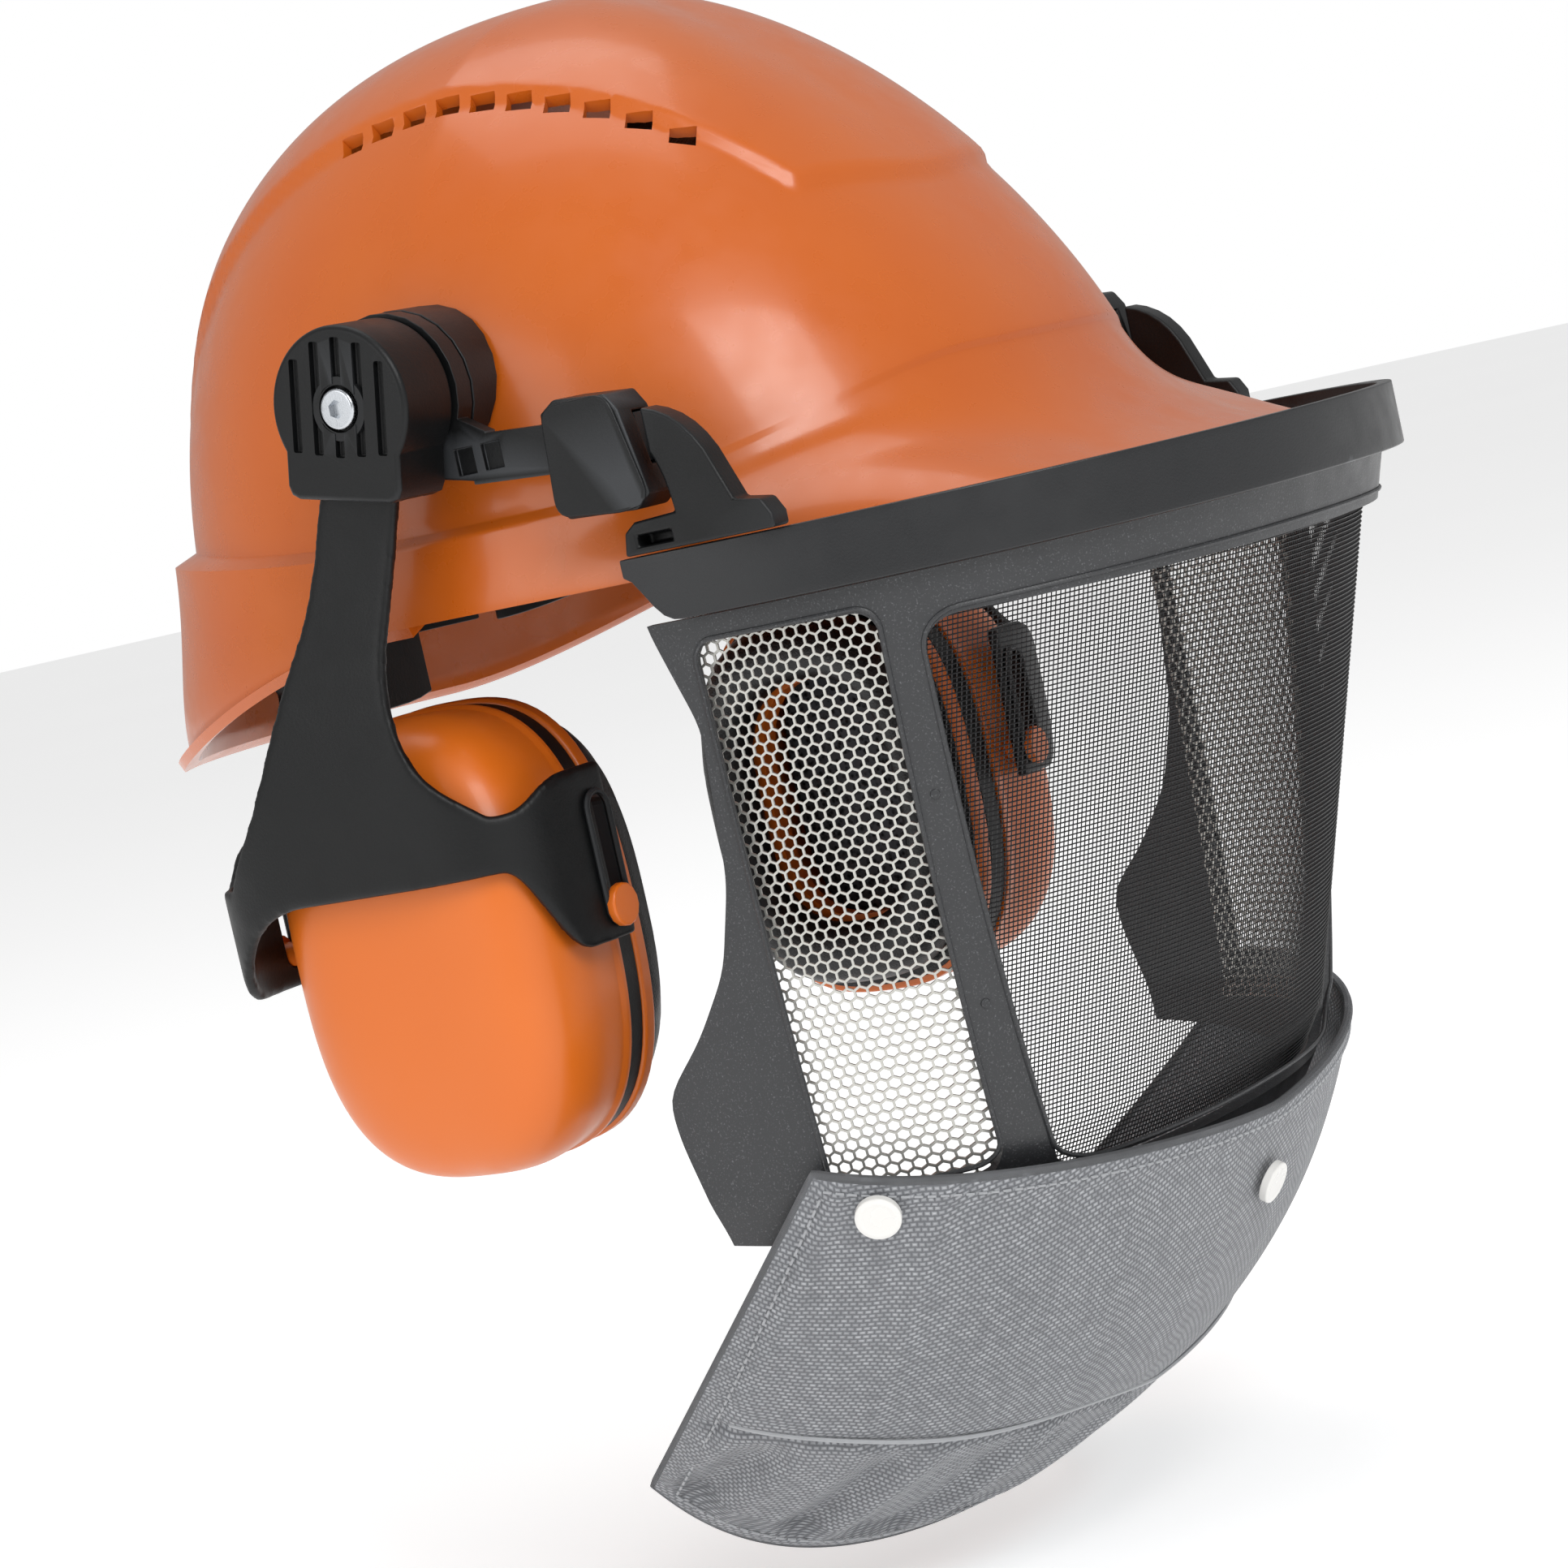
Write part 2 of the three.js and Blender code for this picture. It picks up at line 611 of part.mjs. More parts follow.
function visorFrame() {
  const frame = plate(36, 8, (u, v, w) => {
    const across = 2 * u - 1;
    const lowZ = lerp(VISOR.frontZ, VISOR.sideZ, abs(across) ** 1.5);
    const z = lerp(lowZ, VISOR.topZ, v);
    const turn = across * visorTurnAtY(between(VISOR_REAR, z), z);
    return visorPoint(turn, z, VISOR.wall * (1 - w));
  });
  const sideWindow = windowTool(SIDE_WINDOW.highZ, SIDE_WINDOW.lowZ, (z, part) => {
    return [visorTurnAtY(SIDE_WINDOW.rearY, z), visorTurnAtY(lerp(...SIDE_WINDOW.frontY, part), z)];
  });
  const frontWindow = windowTool(FRONT_WINDOW.highZ, FRONT_WINDOW.lowZ, (z, part) => {
    const turn = visorTurnAtY(lerp(...FRONT_WINDOW.edgeY, part), z);
    return [-turn, turn];
  });
  return cut(frame, sideWindow, mirrored(sideWindow), frontWindow);
}

// A tool for a window whose two turns at each height come from a function.
function windowTool(highZ, lowZ, edges) {
  return plate(10, 4, (u, v, w) => {
    const z = lerp(highZ, lowZ, v);
    const [from, to] = edges(z, v);
    return visorPoint(lerp(from, to, u), z, lerp(8, -6, w));
  });
}

// A mesh panel behind its window, wider than the window by a margin all round.
function meshPanel(columns, highZ, lowZ, edges) {
  const inset = VISOR.wall + 2.2 * GAP;
  return plate(columns, 5, (u, v, w) => {
    const z = lerp(highZ, lowZ, v);
    const [from, to] = edges(z, v);
    return visorPoint(lerp(from, to, u), z, inset + VISOR.mesh * (1 - w));
  });
}

function sideMesh() {
  return meshPanel(6, SIDE_WINDOW.highZ + 2.5, SIDE_WINDOW.lowZ - 3, (z, part) => {
    return [visorTurnAtY(SIDE_WINDOW.rearY + 2.5, z), visorTurnAtY(lerp(...SIDE_WINDOW.frontY, part) - 3, z)];
  });
}

function frontMesh() {
  return meshPanel(24, FRONT_WINDOW.highZ + 4, FRONT_WINDOW.lowZ - 3, (z, part) => {
    const turn = visorTurnAtY(lerp(...FRONT_WINDOW.edgeY, part) + 4, z);
    return [-turn, turn];
  });
}

// The bib hangs outside the frame's foot and tucks back under the chin.
const BIB_FRONT = new THREE.CubicBezierCurve(
  new THREE.Vector2(-133, -154),
  new THREE.Vector2(-123, -181),
  new THREE.Vector2(-98, -220),
  new THREE.Vector2(-45, -239),
);
const BIB_SIDE = new THREE.QuadraticBezierCurve3(
  new THREE.Vector3(113.2, -75, -135),
  new THREE.Vector3(113, -42, -172),
  new THREE.Vector3(75, 15, -215),
);

function bibPoint(turn, part, inset) {
  const front = BIB_FRONT.getPoint(part);
  const side = BIB_SIDE.getPoint(part);
  const drop = 1 - (abs(turn) / 90) ** lerp(1.2, 4, part);
  const [x, y] = uCurve(turn, side.x - inset, front.x + inset, side.y, BIB.power);
  return [x, y, lerp(side.z, front.y, drop) + 0.6 * inset * part];
}

function bib() {
  return plate(22, 6, (u, v, w) => bibPoint(lerp(-90, 90, u), 1 - v, BIB.wall * (1 - w)));
}

// A snap fastener on the bib at a turn and a part of its drop.
function snap(turn, part) {
  const seat = new THREE.Vector3(...bibPoint(turn, part, -GAP));
  const across = new THREE.Vector3(...bibPoint(turn + 2, part, -GAP)).sub(seat);
  const down = new THREE.Vector3(...bibPoint(turn, part + 0.05, -GAP)).sub(seat);
  const outward = across.cross(down).normalize();
  outward.multiplyScalar(sign(outward.dot(new THREE.Vector3(seat.x, seat.y + 40, 0))));
  const disc = new THREE.CylinderGeometry(BIB.snapRadius - 1.2, BIB.snapRadius, 2, 14);
  const turnOut = new THREE.Quaternion().setFromUnitVectors(new THREE.Vector3(0, 1, 0), outward);
  const centre = seat.addScaledVector(outward, 1.5);
  return bare(disc.applyQuaternion(turnOut).translate(centre.x, centre.y, centre.z));
}

// ---- Ear muffs, made for the wearer's left ----

// Turns a piece made upright about the hub's axis, so that the arm leans rearwards.
function leaned(geometry) {
  return bare(geometry.clone().translate(0, -HUB.y, -HUB.z).rotateX(ARM_LEAN).translate(0, HUB.y, HUB.z));
}

function hubCap() {
  const chin = 15.5;
  const outline = new THREE.Shape();
  outline.moveTo(HUB.y - chin, HUB.chinZ + 2);
  outline.lineTo(HUB.y - chin + 2, HUB.chinZ);
  outline.lineTo(HUB.y + chin - 2, HUB.chinZ);
  outline.lineTo(HUB.y + chin, HUB.chinZ + 2);
  outline.lineTo(HUB.y + chin, HUB.z - 10);
  outline.absarc(HUB.y, HUB.z, HUB.radius, -0.572, PI + 0.572, false);
  const inner = HUB.ringX + GAP + 0.2;
  const body = slabAlongX(outline, inner, HUB.capX);
  const half = FOLD.halfLength + 1.5;
  const hinge = block([FOLD.x - 4, HUB.y - half, 20], [FOLD.x + 4, HUB.y + half, FOLD.z + 3.6]);
  const bore = rodAlongX(HUB.y, HUB.z, SCREW.shaft + GAP, inner - 1, HUB.capX + 1, 12);
  const seat = rodAlongX(HUB.y, HUB.z, SCREW.head + GAP, HUB.capX - 2, HUB.capX + 1, 16);
  return leaned(cut(body, hinge, bore, seat));
}

function foldSpring() {
  const back = HUB.y - 6;
  const front = HUB.y + 6;
  return leaned(block([FOLD.x - 3.7, back, FOLD.z - 2], [FOLD.x - 3.1, front, FOLD.z + 3.2]));
}

// The arm's centre line and half-width on its way down, as Z, Y and X.
const ARM_Y = [[28, -6.5], [9, 6], [-21, 19.5], [-44, 18]];
const ARM_X = [[30, 125], [9, 126.5], [-21, 131.8], [-44, 132.8]];
const ARM_HALF = [[28, 11.5], [9, 12.5], [-21, 17.5], [-44, 26]];

function saddlePoint(turn, z, inset) {
  const centre = (SADDLE.front + SADDLE.rear) / 2;
  const halfLength = (SADDLE.rear - SADDLE.front) / 2 - inset;
  const bend = degToRad(turn);
  const y = centre + halfLength * sign(bend) * abs(sin(bend)) ** (2 / SADDLE.power);
  const x = SADDLE.end + (SADDLE.outer - inset - SADDLE.end) * max(cos(bend), 0) ** (2 / SADDLE.power);
  return [x, y, z];
}

// The yoke: an arm from the hub that widens into a saddle round the cup, with a slot at each end.
function yoke() {
  const [back, front] = [HUB.y - FOLD.halfLength, HUB.y + FOLD.halfLength];
  const knuckle = leaned(rodAlongY(FOLD.x, FOLD.z, FOLD.knuckle, back, front, 10));
  const arm = plate(2, 7, (u, v, w) => {
    const z = lerp(FOLD.z, -46, 1 - v);
    const y = between(ARM_Y, z) + between(ARM_HALF, z) * (2 * u - 1);
    return [between(ARM_X, z) + SADDLE.wall * (w - 0.5), y, z];
  });
  const saddle = plate(22, 1, (u, v, w) => {
    const turn = lerp(-90, 90, u);
    const end = smoothstep(abs(turn), 42, 80);
    const dip = turn < 0 ? 9 * smoothstep(-turn, 15, 40) : 0;
    const high = lerp(-37 - dip, turn < 0 ? -38 : -34, end);
    const low = lerp(-57, turn < 0 ? -78.5 : -79, end);
    return saddlePoint(turn, lerp(low, high, v), SADDLE.wall * (1 - w));
  });
  const slots = [SADDLE.front, SADDLE.rear].map((y) => {
    const half = SLOT.width / 2;
    return block([PIN.x - half, y - 6, SLOT.lowZ], [PIN.x + half, y + 6, SLOT.highZ]);
  });
  return cut(joined(saddle, arm, knuckle), ...slots);
}

// A turned ring or bowl of the cup: parts of the outline by distance from the head's mid-plane.
function cupPiece(profile, segments) {
  return turned(profile, segments, (angle, part, x) => {
    const [y, z] = superellipse(angle, CUP.halfLength * part, CUP.halfHeight * part, CUP.power);
    return [x, CUP.y + CUP.lean * (114 - x) + y, CUP.z + z];
  });
}

function cupShell() {
  const outer = [[0, 128], [0.55, 127.2], [0.82, 123.5], [0.935, 116.5], [0.985, 106], [1, 91.5]];
  const inner = [[0.92, 91.5], [0.91, 105], [0.85, 115], [0.7, 121], [0, 124.5]];
  return cupPiece([...outer, ...inner], 24);
}

function cupRing(inner, outer, fromX, toX) {
  return cupPiece([[inner, fromX], [inner, toX], [outer, toX], [outer, fromX], [inner, fromX]], 24);
}

function earCushion() {
  const profile = [[0.58, 78.8], [0.56, 70], [0.62, 64], [0.74, 62], [0.86, 64], [0.94, 70], [0.95, 78.8], [0.58, 78.8]];
  return cupPiece(profile, 24);
}

// A pin from the cup's edge through a slot of the yoke, with a head outside it.
function cupPin(direction) {
  const middle = CUP.y + CUP.lean * (114 - PIN.x);
  const from = middle + direction * (CUP.halfLength + 0.2);
  const plateY = direction < 0 ? SADDLE.front : SADDLE.rear;
  const to = plateY + direction * GAP;
  const tip = to + direction * 2.4;
  const shaft = rodAlongY(PIN.x, PIN.z, PIN.radius, min(from, tip), max(from, tip), 12);
  const head = rodAlongY(PIN.x, PIN.z, PIN.head, min(to, tip), max(to, tip), 14);
  return joined(shaft, head);
}

// ---- Assembly ----

const helmet = new THREE.Group();

function add(name, geometry, material) {
  geometry.computeVertexNormals();
  const mesh = new THREE.Mesh(geometry, material);
  mesh.name = name;
  helmet.add(mesh);
}

function addPair(name, geometry, material) {
  add(`${name}_left`, geometry, material);
  add(`${name}_right`, mirrored(geometry), material);
}

add("shell", shell(), FINISH.shell);
add("headband", bandPiece(150, 0, BAND.wall, BAND.height, 32), FINISH.black);
add("sweatband", bandPiece(62, BAND.wall + GAP, 2.2, BAND.height + 2, 14), FINISH.padding);
for (const degrees of CLIP.angles) {
  addPair(`cradle_clip_${degrees}`, clip(degToRad(degrees)), FINISH.black);
}
add("crown_strap_front_left", crownStrap(degToRad(CLIP.angles[0]), 0), FINISH.webbing);
add("crown_strap_front_right", crownStrap(degToRad(-CLIP.angles[0]), 1), FINISH.webbing);
add("crown_strap_side", crownStrap(degToRad(CLIP.angles[1]), 2), FINISH.webbing);
add("nape_housing", napeHousing(), FINISH.black);
add("rack_tail_left", rackTail(1), FINISH.black);
add("rack_tail_right", rackTail(-1), FINISH.black);
const knobFace = NAPE.y + NAPE.depth / 2 + GAP;
add("ratchet_knob", ribbedWheel(KNOB.radius, 1.2, KNOB.ribs, knobFace, knobFace + KNOB.depth), FINISH.black);
const spindle = rodAlongY(0, NAPE.z, 2.8, NAPE.y + 1, knobFace - GAP / 2, 12);
const pinion = ribbedWheel(KNOB.pinion, 0.9, 8, NAPE.y - 3, NAPE.y + 2);
add("knob_pinion", joined(pinion, spindle), FINISH.black);

addPair("hub_socket", hubSocket(), FINISH.black);
addPair("hub_screw", hubScrew(), FINISH.steel);
addPair("visor_carrier", visorCarrier(), FINISH.black);
addPair("slider_plate", sliderPlate(), FINISH.black);
addPair("visor_arm", visorArm(), FINISH.black);
add("brow_bar", browBar(), FINISH.grey);
add("visor_frame", visorFrame(), FINISH.grey);
add("front_mesh", frontMesh(), FINISH.wire);
addPair("side_mesh", sideMesh(), FINISH.steel);
add("bib", bib(), FINISH.canvas);
addPair("bib_snap", snap(74, 0.08), FINISH.snap);
add("bib_snap_front", snap(0, 0.2), FINISH.snap);

addPair("hub_cap", hubCap(), FINISH.black);
addPair("fold_spring", foldSpring(), FINISH.steel);
addPair("yoke", yoke(), FINISH.black);
addPair("slot_pin_front", cupPin(-1), FINISH.cup);
addPair("slot_pin_rear", cupPin(1), FINISH.cup);
addPair("cup", cupShell(), FINISH.cup);
addPair("cup_band", cupRing(0.84, 0.985, 84.8, 91.1), FINISH.black);
addPair("cup_plate", cupRing(0.6, 1, 79.4, 84.4), FINISH.cup);
addPair("ear_cushion", earCushion(), FINISH.padding);
addPair("cup_foam", cupPiece([[0, 104], [0, 98], [0.78, 98], [0.78, 104], [0, 104]], 16), FINISH.foam);

export default helmet;
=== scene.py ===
"""Looks of a forestry helmet with a mesh visor, a canvas bib and a pair of ear muffs.

Metres, +Z up. The wearer looks along -Y, and the wearer's left is +X. Sizes inside the
classes are millimetres, and turn into metres where a mesh is laid out.
"""

import logging
import math
from collections.abc import Callable, Iterator
from contextlib import contextmanager
from dataclasses import dataclass
from enum import Enum

import bpy
import numpy as np
from mathutils import Matrix, Vector


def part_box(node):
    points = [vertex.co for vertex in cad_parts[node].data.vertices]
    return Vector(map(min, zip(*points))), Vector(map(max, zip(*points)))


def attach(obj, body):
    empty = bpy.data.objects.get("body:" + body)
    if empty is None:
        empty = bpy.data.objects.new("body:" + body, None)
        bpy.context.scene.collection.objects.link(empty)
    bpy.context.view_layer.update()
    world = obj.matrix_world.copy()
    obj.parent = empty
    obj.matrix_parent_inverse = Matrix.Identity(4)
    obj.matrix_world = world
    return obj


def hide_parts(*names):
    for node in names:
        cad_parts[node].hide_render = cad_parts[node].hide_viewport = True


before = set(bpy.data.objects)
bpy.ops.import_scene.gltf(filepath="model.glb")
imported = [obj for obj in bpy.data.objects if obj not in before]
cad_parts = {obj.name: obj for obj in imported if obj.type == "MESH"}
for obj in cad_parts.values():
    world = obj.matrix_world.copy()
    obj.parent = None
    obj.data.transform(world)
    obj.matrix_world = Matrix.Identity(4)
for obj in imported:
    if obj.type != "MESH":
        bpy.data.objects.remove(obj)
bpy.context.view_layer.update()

LOG = logging.getLogger("helmet")
MM = 0.001
Place = Callable[[np.ndarray, np.ndarray], np.ndarray]


class Side(Enum):
    """The wearer's left or right, as the sign of X."""

    LEFT = 1
    RIGHT = -1

    def named(self, name: str) -> str:
        """Returns a piece's name with its side."""
        return f"{name}_{self.name.lower()}"


# ---- Numbers ----


def lerp(low: object, high: object, part: object) -> object:
    """Returns the value a part of the way from low to high."""
    return low + (high - low) * part


def smoothstep(value: object, low: float, high: float) -> np.ndarray:
    """Returns 0 below low, 1 above high, and a smooth rise between."""
    part = np.clip((value - low) / (high - low), 0, 1)
    return part * part * (3 - 2 * part)


def superellipse(angle: np.ndarray, a: object, b: object, power: object) -> tuple[np.ndarray, np.ndarray]:
    """Returns a point of a superellipse by its angle from the b axis."""
    sine, cosine = np.sin(angle), np.cos(angle)
    reach = (np.abs(sine) ** power + np.abs(cosine) ** power) ** (-1 / power)
    return a * reach * sine, b * reach * cosine


def stacked(x: object, y: object, z: object) -> np.ndarray:
    """Returns points from their three coordinates."""
    return np.stack(np.broadcast_arrays(x, y, z), axis=-1).astype(float)


def unit(vectors: np.ndarray) -> np.ndarray:
    """Returns vectors of length one."""
    return vectors / np.maximum(np.linalg.norm(vectors, axis=-1, keepdims=True), 1e-9)


def bezier(controls: list[np.ndarray], part: np.ndarray) -> np.ndarray:
    """Returns points of a Bezier curve of any degree.

    Args:
        controls: The control points, each an array of points or one point.
        part: Where on the curve, from 0 to 1.
    """
    part = np.asarray(part, float)[..., None]
    while len(controls) > 1:
        controls = [lerp(a, b, part) for a, b in zip(controls, controls[1:])]
    return controls[0]


def u_curve(turn: np.ndarray, half_width: object, front: object, rear: object, power: float) -> tuple:
    """Returns X and Y of a U in plan, open to the rear: turn is 0 in front and 90 at its ends."""
    bend = np.radians(np.clip(turn, -90, 90))
    x = np.sign(bend) * half_width * np.abs(np.sin(bend)) ** (2 / power)
    y = rear - (rear - front) * np.maximum(np.cos(bend), 0) ** (2 / power)
    return x, y + 2 * np.maximum(np.abs(turn) - 90, 0)


def eased(value: np.ndarray, places: list[float], amounts: list[float]) -> np.ndarray:
    """Reads a value off a line through points, with the line's corners eased."""
    samples = np.linspace(places[0], places[-1], 121)
    window = np.hanning(21)
    padded = np.pad(np.interp(samples, places, amounts), 10, mode="reflect", reflect_type="odd")
    return np.interp(value, samples, np.convolve(padded, window / window.sum(), mode="valid"))


def turn_at_y(y: object, front: object, rear: object, power: float) -> np.ndarray:
    """Returns the turn at which the same U reaches a Y."""
    part = np.clip((rear - y) / (rear - front), 0, 1)
    inside = np.degrees(np.arccos(part ** (power / 2)))
    return np.where(y >= rear, 90 + (y - rear) / 2, inside)


# ---- Meshes ----


def select_only(*objects: bpy.types.Object) -> None:
    """Selects these objects alone and makes the first active."""
    bpy.ops.object.select_all(action="DESELECT")
    for item in objects:
        item.select_set(True)
    bpy.context.view_layer.objects.active = objects[0]


@contextmanager
def editing(piece: bpy.types.Object) -> Iterator[None]:
    """Opens a piece in edit mode with all of it selected, and closes it at the end."""
    select_only(piece)
    bpy.ops.object.mode_set(mode="EDIT")
    bpy.ops.mesh.select_all(action="SELECT")
    try:
        yield
    finally:
        bpy.ops.object.mode_set(mode="OBJECT")


def modify(piece: bpy.types.Object, kind: str, **settings: object) -> None:
    """Adds a modifier with its settings and applies it."""
    select_only(piece)
    modifier = piece.modifiers.new(kind.title(), kind)
    for name, value in settings.items():
        setattr(modifier, name, value)
    bpy.ops.object.modifier_apply(modifier=modifier.name)


def points_of(piece: bpy.types.Object) -> np.ndarray:
    """Returns a mesh's vertices as an array."""
    flat = np.empty(len(piece.data.vertices) * 3, np.float32)
    piece.data.vertices.foreach_get("co", flat)
    return flat.reshape(-1, 3).astype(float)


def move_points(piece: bpy.types.Object, points: np.ndarray) -> None:
    """Moves a mesh's vertices to new places, in metres."""
    piece.data.vertices.foreach_set("co", points.astype(np.float32).ravel())
    piece.data.update()


def face_away(piece: bpy.types.Object, inner: tuple[float, float, float]) -> None:
    """Turns an open sheet's faces so that most of them look away from a point in millimetres."""
    with editing(piece):
        bpy.ops.mesh.normals_make_consistent(inside=False)
    centre = Vector(inner) * MM
    facing = sum((face.center - centre).dot(face.normal) * face.area for face in piece.data.polygons)
    if facing < 0:
        piece.data.flip_normals()


def lay_uv(piece: bpy.types.Object, columns: int, rows: int, points: np.ndarray) -> None:
    """Gives a grid a UV map in metres along its own rows and columns.

    Args:
        piece: The grid, before any of its vertices are merged.
        columns: How many cells it has along u.
        rows: How many cells it has along v.
        points: Its points in metres, one row of the grid after another.
    """
    lattice = points.reshape(rows + 1, columns + 1, 3)
    along = np.linalg.norm(np.diff(lattice, axis=1), axis=2)
    across = np.linalg.norm(np.diff(lattice, axis=0), axis=2)
    u = np.pad(np.cumsum(along, axis=1), ((0, 0), (1, 0)))
    v = np.pad(np.cumsum(across, axis=0), ((1, 0), (0, 0)))
    u -= u[:, [columns // 2]]
    place = np.stack([u.ravel(), v.ravel()], axis=-1)
    corners = np.empty(len(piece.data.loops), np.int32)
    piece.data.loops.foreach_get("vertex_index", corners)
    piece.data.uv_layers.active.data.foreach_set("uv", place[corners].astype(np.float32).ravel())


def laid_sheet(
    name: str, columns: int, rows: int, place: Place, inner: tuple[float, float, float] = (0, 0, 0)
) -> bpy.types.Object:
    """Adds a grid and lays it on a surface, its faces looking away from a point.

    Args:
        name: The piece's name.
        columns: How many cells the grid has along u.
        rows: How many cells the grid has along v.
        place: Gives the points in millimetres for arrays of u and v from 0 to 1.
        inner: The point in millimetres that the faces look away from.

    Returns:
        The open sheet, with a UV map in metres.
    """
    bpy.ops.object.select_all(action="DESELECT")
    bpy.ops.mesh.primitive_grid_add(x_subdivisions=columns, y_subdivisions=rows, size=1.0)
    sheet = bpy.context.object
    sheet.name = sheet.data.name = name
    flat = points_of(sheet)
    points = place(flat[:, 0] + 0.5, flat[:, 1] + 0.5) * MM
    move_points(sheet, points)
    lay_uv(sheet, columns, rows, points)
    with editing(sheet):
        bpy.ops.mesh.remove_doubles(threshold=2e-5)
    face_away(sheet, inner)
    return sheet


def thicken(piece: bpy.types.Object, wall: float, outward: bool = False) -> None:
    """Gives an open sheet a wall in millimetres, inwards unless told otherwise."""
    modify(piece, "SOLIDIFY", thickness=wall * MM, offset=1.0 if outward else -1.0)


def soften(piece: bpy.types.Object, width: float, segments: int = 2, angle: float = 40) -> None:
    """Rounds the edges that turn by more than an angle, by a width in millimetres."""
    modify(
        piece,
        "BEVEL",
        width=width * MM,
        segments=segments,
        limit_method="ANGLE",
        angle_limit=math.radians(angle),
    )


def cut_with(piece: bpy.types.Object, tools: list[bpy.types.Object]) -> None:
    """Cuts closed tools, which don't touch each other, out of a closed piece."""
    select_only(*tools)
    if len(tools) > 1:
        bpy.ops.object.join()
    tool = bpy.context.view_layer.objects.active
    modify(piece, "BOOLEAN", operation="DIFFERENCE", object=tool, solver="MANIFOLD")
    bpy.data.objects.remove(tool)


def join(name: str, pieces: list[bpy.types.Object]) -> bpy.types.Object:
    """Joins meshes into one object of a name."""
    select_only(*pieces)
    if len(pieces) > 1:
        bpy.ops.object.join()
    joined = bpy.context.view_layer.objects.active
    joined.name = joined.data.name = name
    return joined


def mirrored(piece: bpy.types.Object, name: str) -> bpy.types.Object:
    """Returns a copy of a piece, with its own mesh, on the other side of the helmet."""
    copy = piece.copy()
    copy.data = piece.data.copy()
    copy.name = copy.data.name = name
    copy.data.transform(Matrix.Scale(-1, 4, (1, 0, 0)))
    copy.data.flip_normals()
    bpy.context.collection.objects.link(copy)
    return copy


def rod(name: str, start: tuple, end: tuple, radius: float, sides: int = 32) -> bpy.types.Object:
    """Adds a round bar between two points in millimetres."""
    low, high = Vector(start) * MM, Vector(end) * MM
    turn = (high - low).to_track_quat("Z", "Y").to_euler()
    bpy.ops.object.select_all(action="DESELECT")
    bpy.ops.mesh.primitive_cylinder_add(
        vertices=sides,
        radius=radius * MM,
        depth=(high - low).length,
        location=(low + high) / 2,
        rotation=turn,
    )
    bar = bpy.context.object
    bpy.ops.object.transform_apply(location=True, rotation=True, scale=True)
    bar.name = bar.data.name = name
    return bar


def block(name: str, low: tuple, high: tuple) -> bpy.types.Object:
    """Adds a box between two corners in millimetres."""
    corner, other = Vector(low) * MM, Vector(high) * MM
    bpy.ops.object.select_all(action="DESELECT")
    bpy.ops.mesh.primitive_cube_add(size=1.0, location=(corner + other) / 2)
    box = bpy.context.object
    box.scale = other - corner
    bpy.ops.object.transform_apply(location=True, rotation=True, scale=True)
    box.name = box.data.name = name
    return box


def slab(name: str, outline: list[tuple[float, float]], x_from: float, x_to: float) -> bpy.types.Object:
    """Adds a face of an outline in Y and Z, and extrudes it along X."""
    bpy.ops.object.select_all(action="DESELECT")
    bpy.ops.mesh.primitive_circle_add(vertices=len(outline), radius=1.0, fill_type="NGON")
    face = bpy.context.object
    face.name = face.data.name = name
    move_points(face, np.array([(x_from, y, z) for y, z in outline]) * MM)
    with editing(face):
        bpy.ops.mesh.extrude_region_move(TRANSFORM_OT_translate={"value": ((x_to - x_from) * MM, 0, 0)})
        bpy.ops.mesh.select_all(action="SELECT")
        bpy.ops.mesh.normals_make_consistent(inside=False)
    return face


def rounded_outline(corners: list[tuple[float, float]], radius: float) -> list[tuple[float, float]]:
    """Rounds an outline's corners by curves that start a radius away from each."""
    places = [np.array(corner, float) for corner in corners]
    outline = []
    for before, corner, after in zip(places[-1:] + places[:-1], places, places[1:] + places[:1]):
        ends = []
        for other in (before, after):
            side = other - corner
            ends.append(corner + unit(side) * min(radius, np.linalg.norm(side) / 2))
        outline += [tuple(p) for p in bezier([ends[0], corner, ends[1]], np.linspace(0, 1, 6))]
    return outline


def tubes(
    name: str, paths: list[np.ndarray], radius: float, sides: int = 4, closed: bool = False
) -> bpy.types.Object:
    """Sweeps a round section along paths in millimetres and makes it one mesh.

    Args:
        name: The piece's name.
        paths: The points of each path.
        radius: The section's radius in millimetres.
        sides: The sides of the section, an even number.
        closed: Whether each path closes on itself.
    """
    curve = bpy.data.curves.new(name, "CURVE")
    curve.dimensions = "3D"
    curve.bevel_depth = radius * MM
    curve.bevel_resolution = max(sides // 2 - 2, 0)
    curve.use_fill_caps = not closed
    for path in paths:
        spline = curve.splines.new("POLY")
        spline.points.add(len(path) - 1)
        spline.points.foreach_set("co", np.hstack([path * MM, np.ones((len(path), 1))]).ravel())
        spline.use_cyclic_u = closed
    holder = bpy.data.objects.new(name, curve)
    bpy.context.collection.objects.link(holder)
    select_only(holder)
    bpy.ops.object.convert(target="MESH")
    made = bpy.context.object
    made.name = made.data.name = name
    return made


def leaned(piece: bpy.types.Object) -> bpy.types.Object:
    """Turns an upright piece of the ear muff's arm about the hub, so that it leans rearwards."""
    pivot = Matrix.Translation(Vector((0, Hub.y, Hub.z)) * MM)
    piece.data.transform(pivot @ Matrix.Rotation(math.radians(Hub.lean), 4, "X") @ pivot.inverted())
    return piece


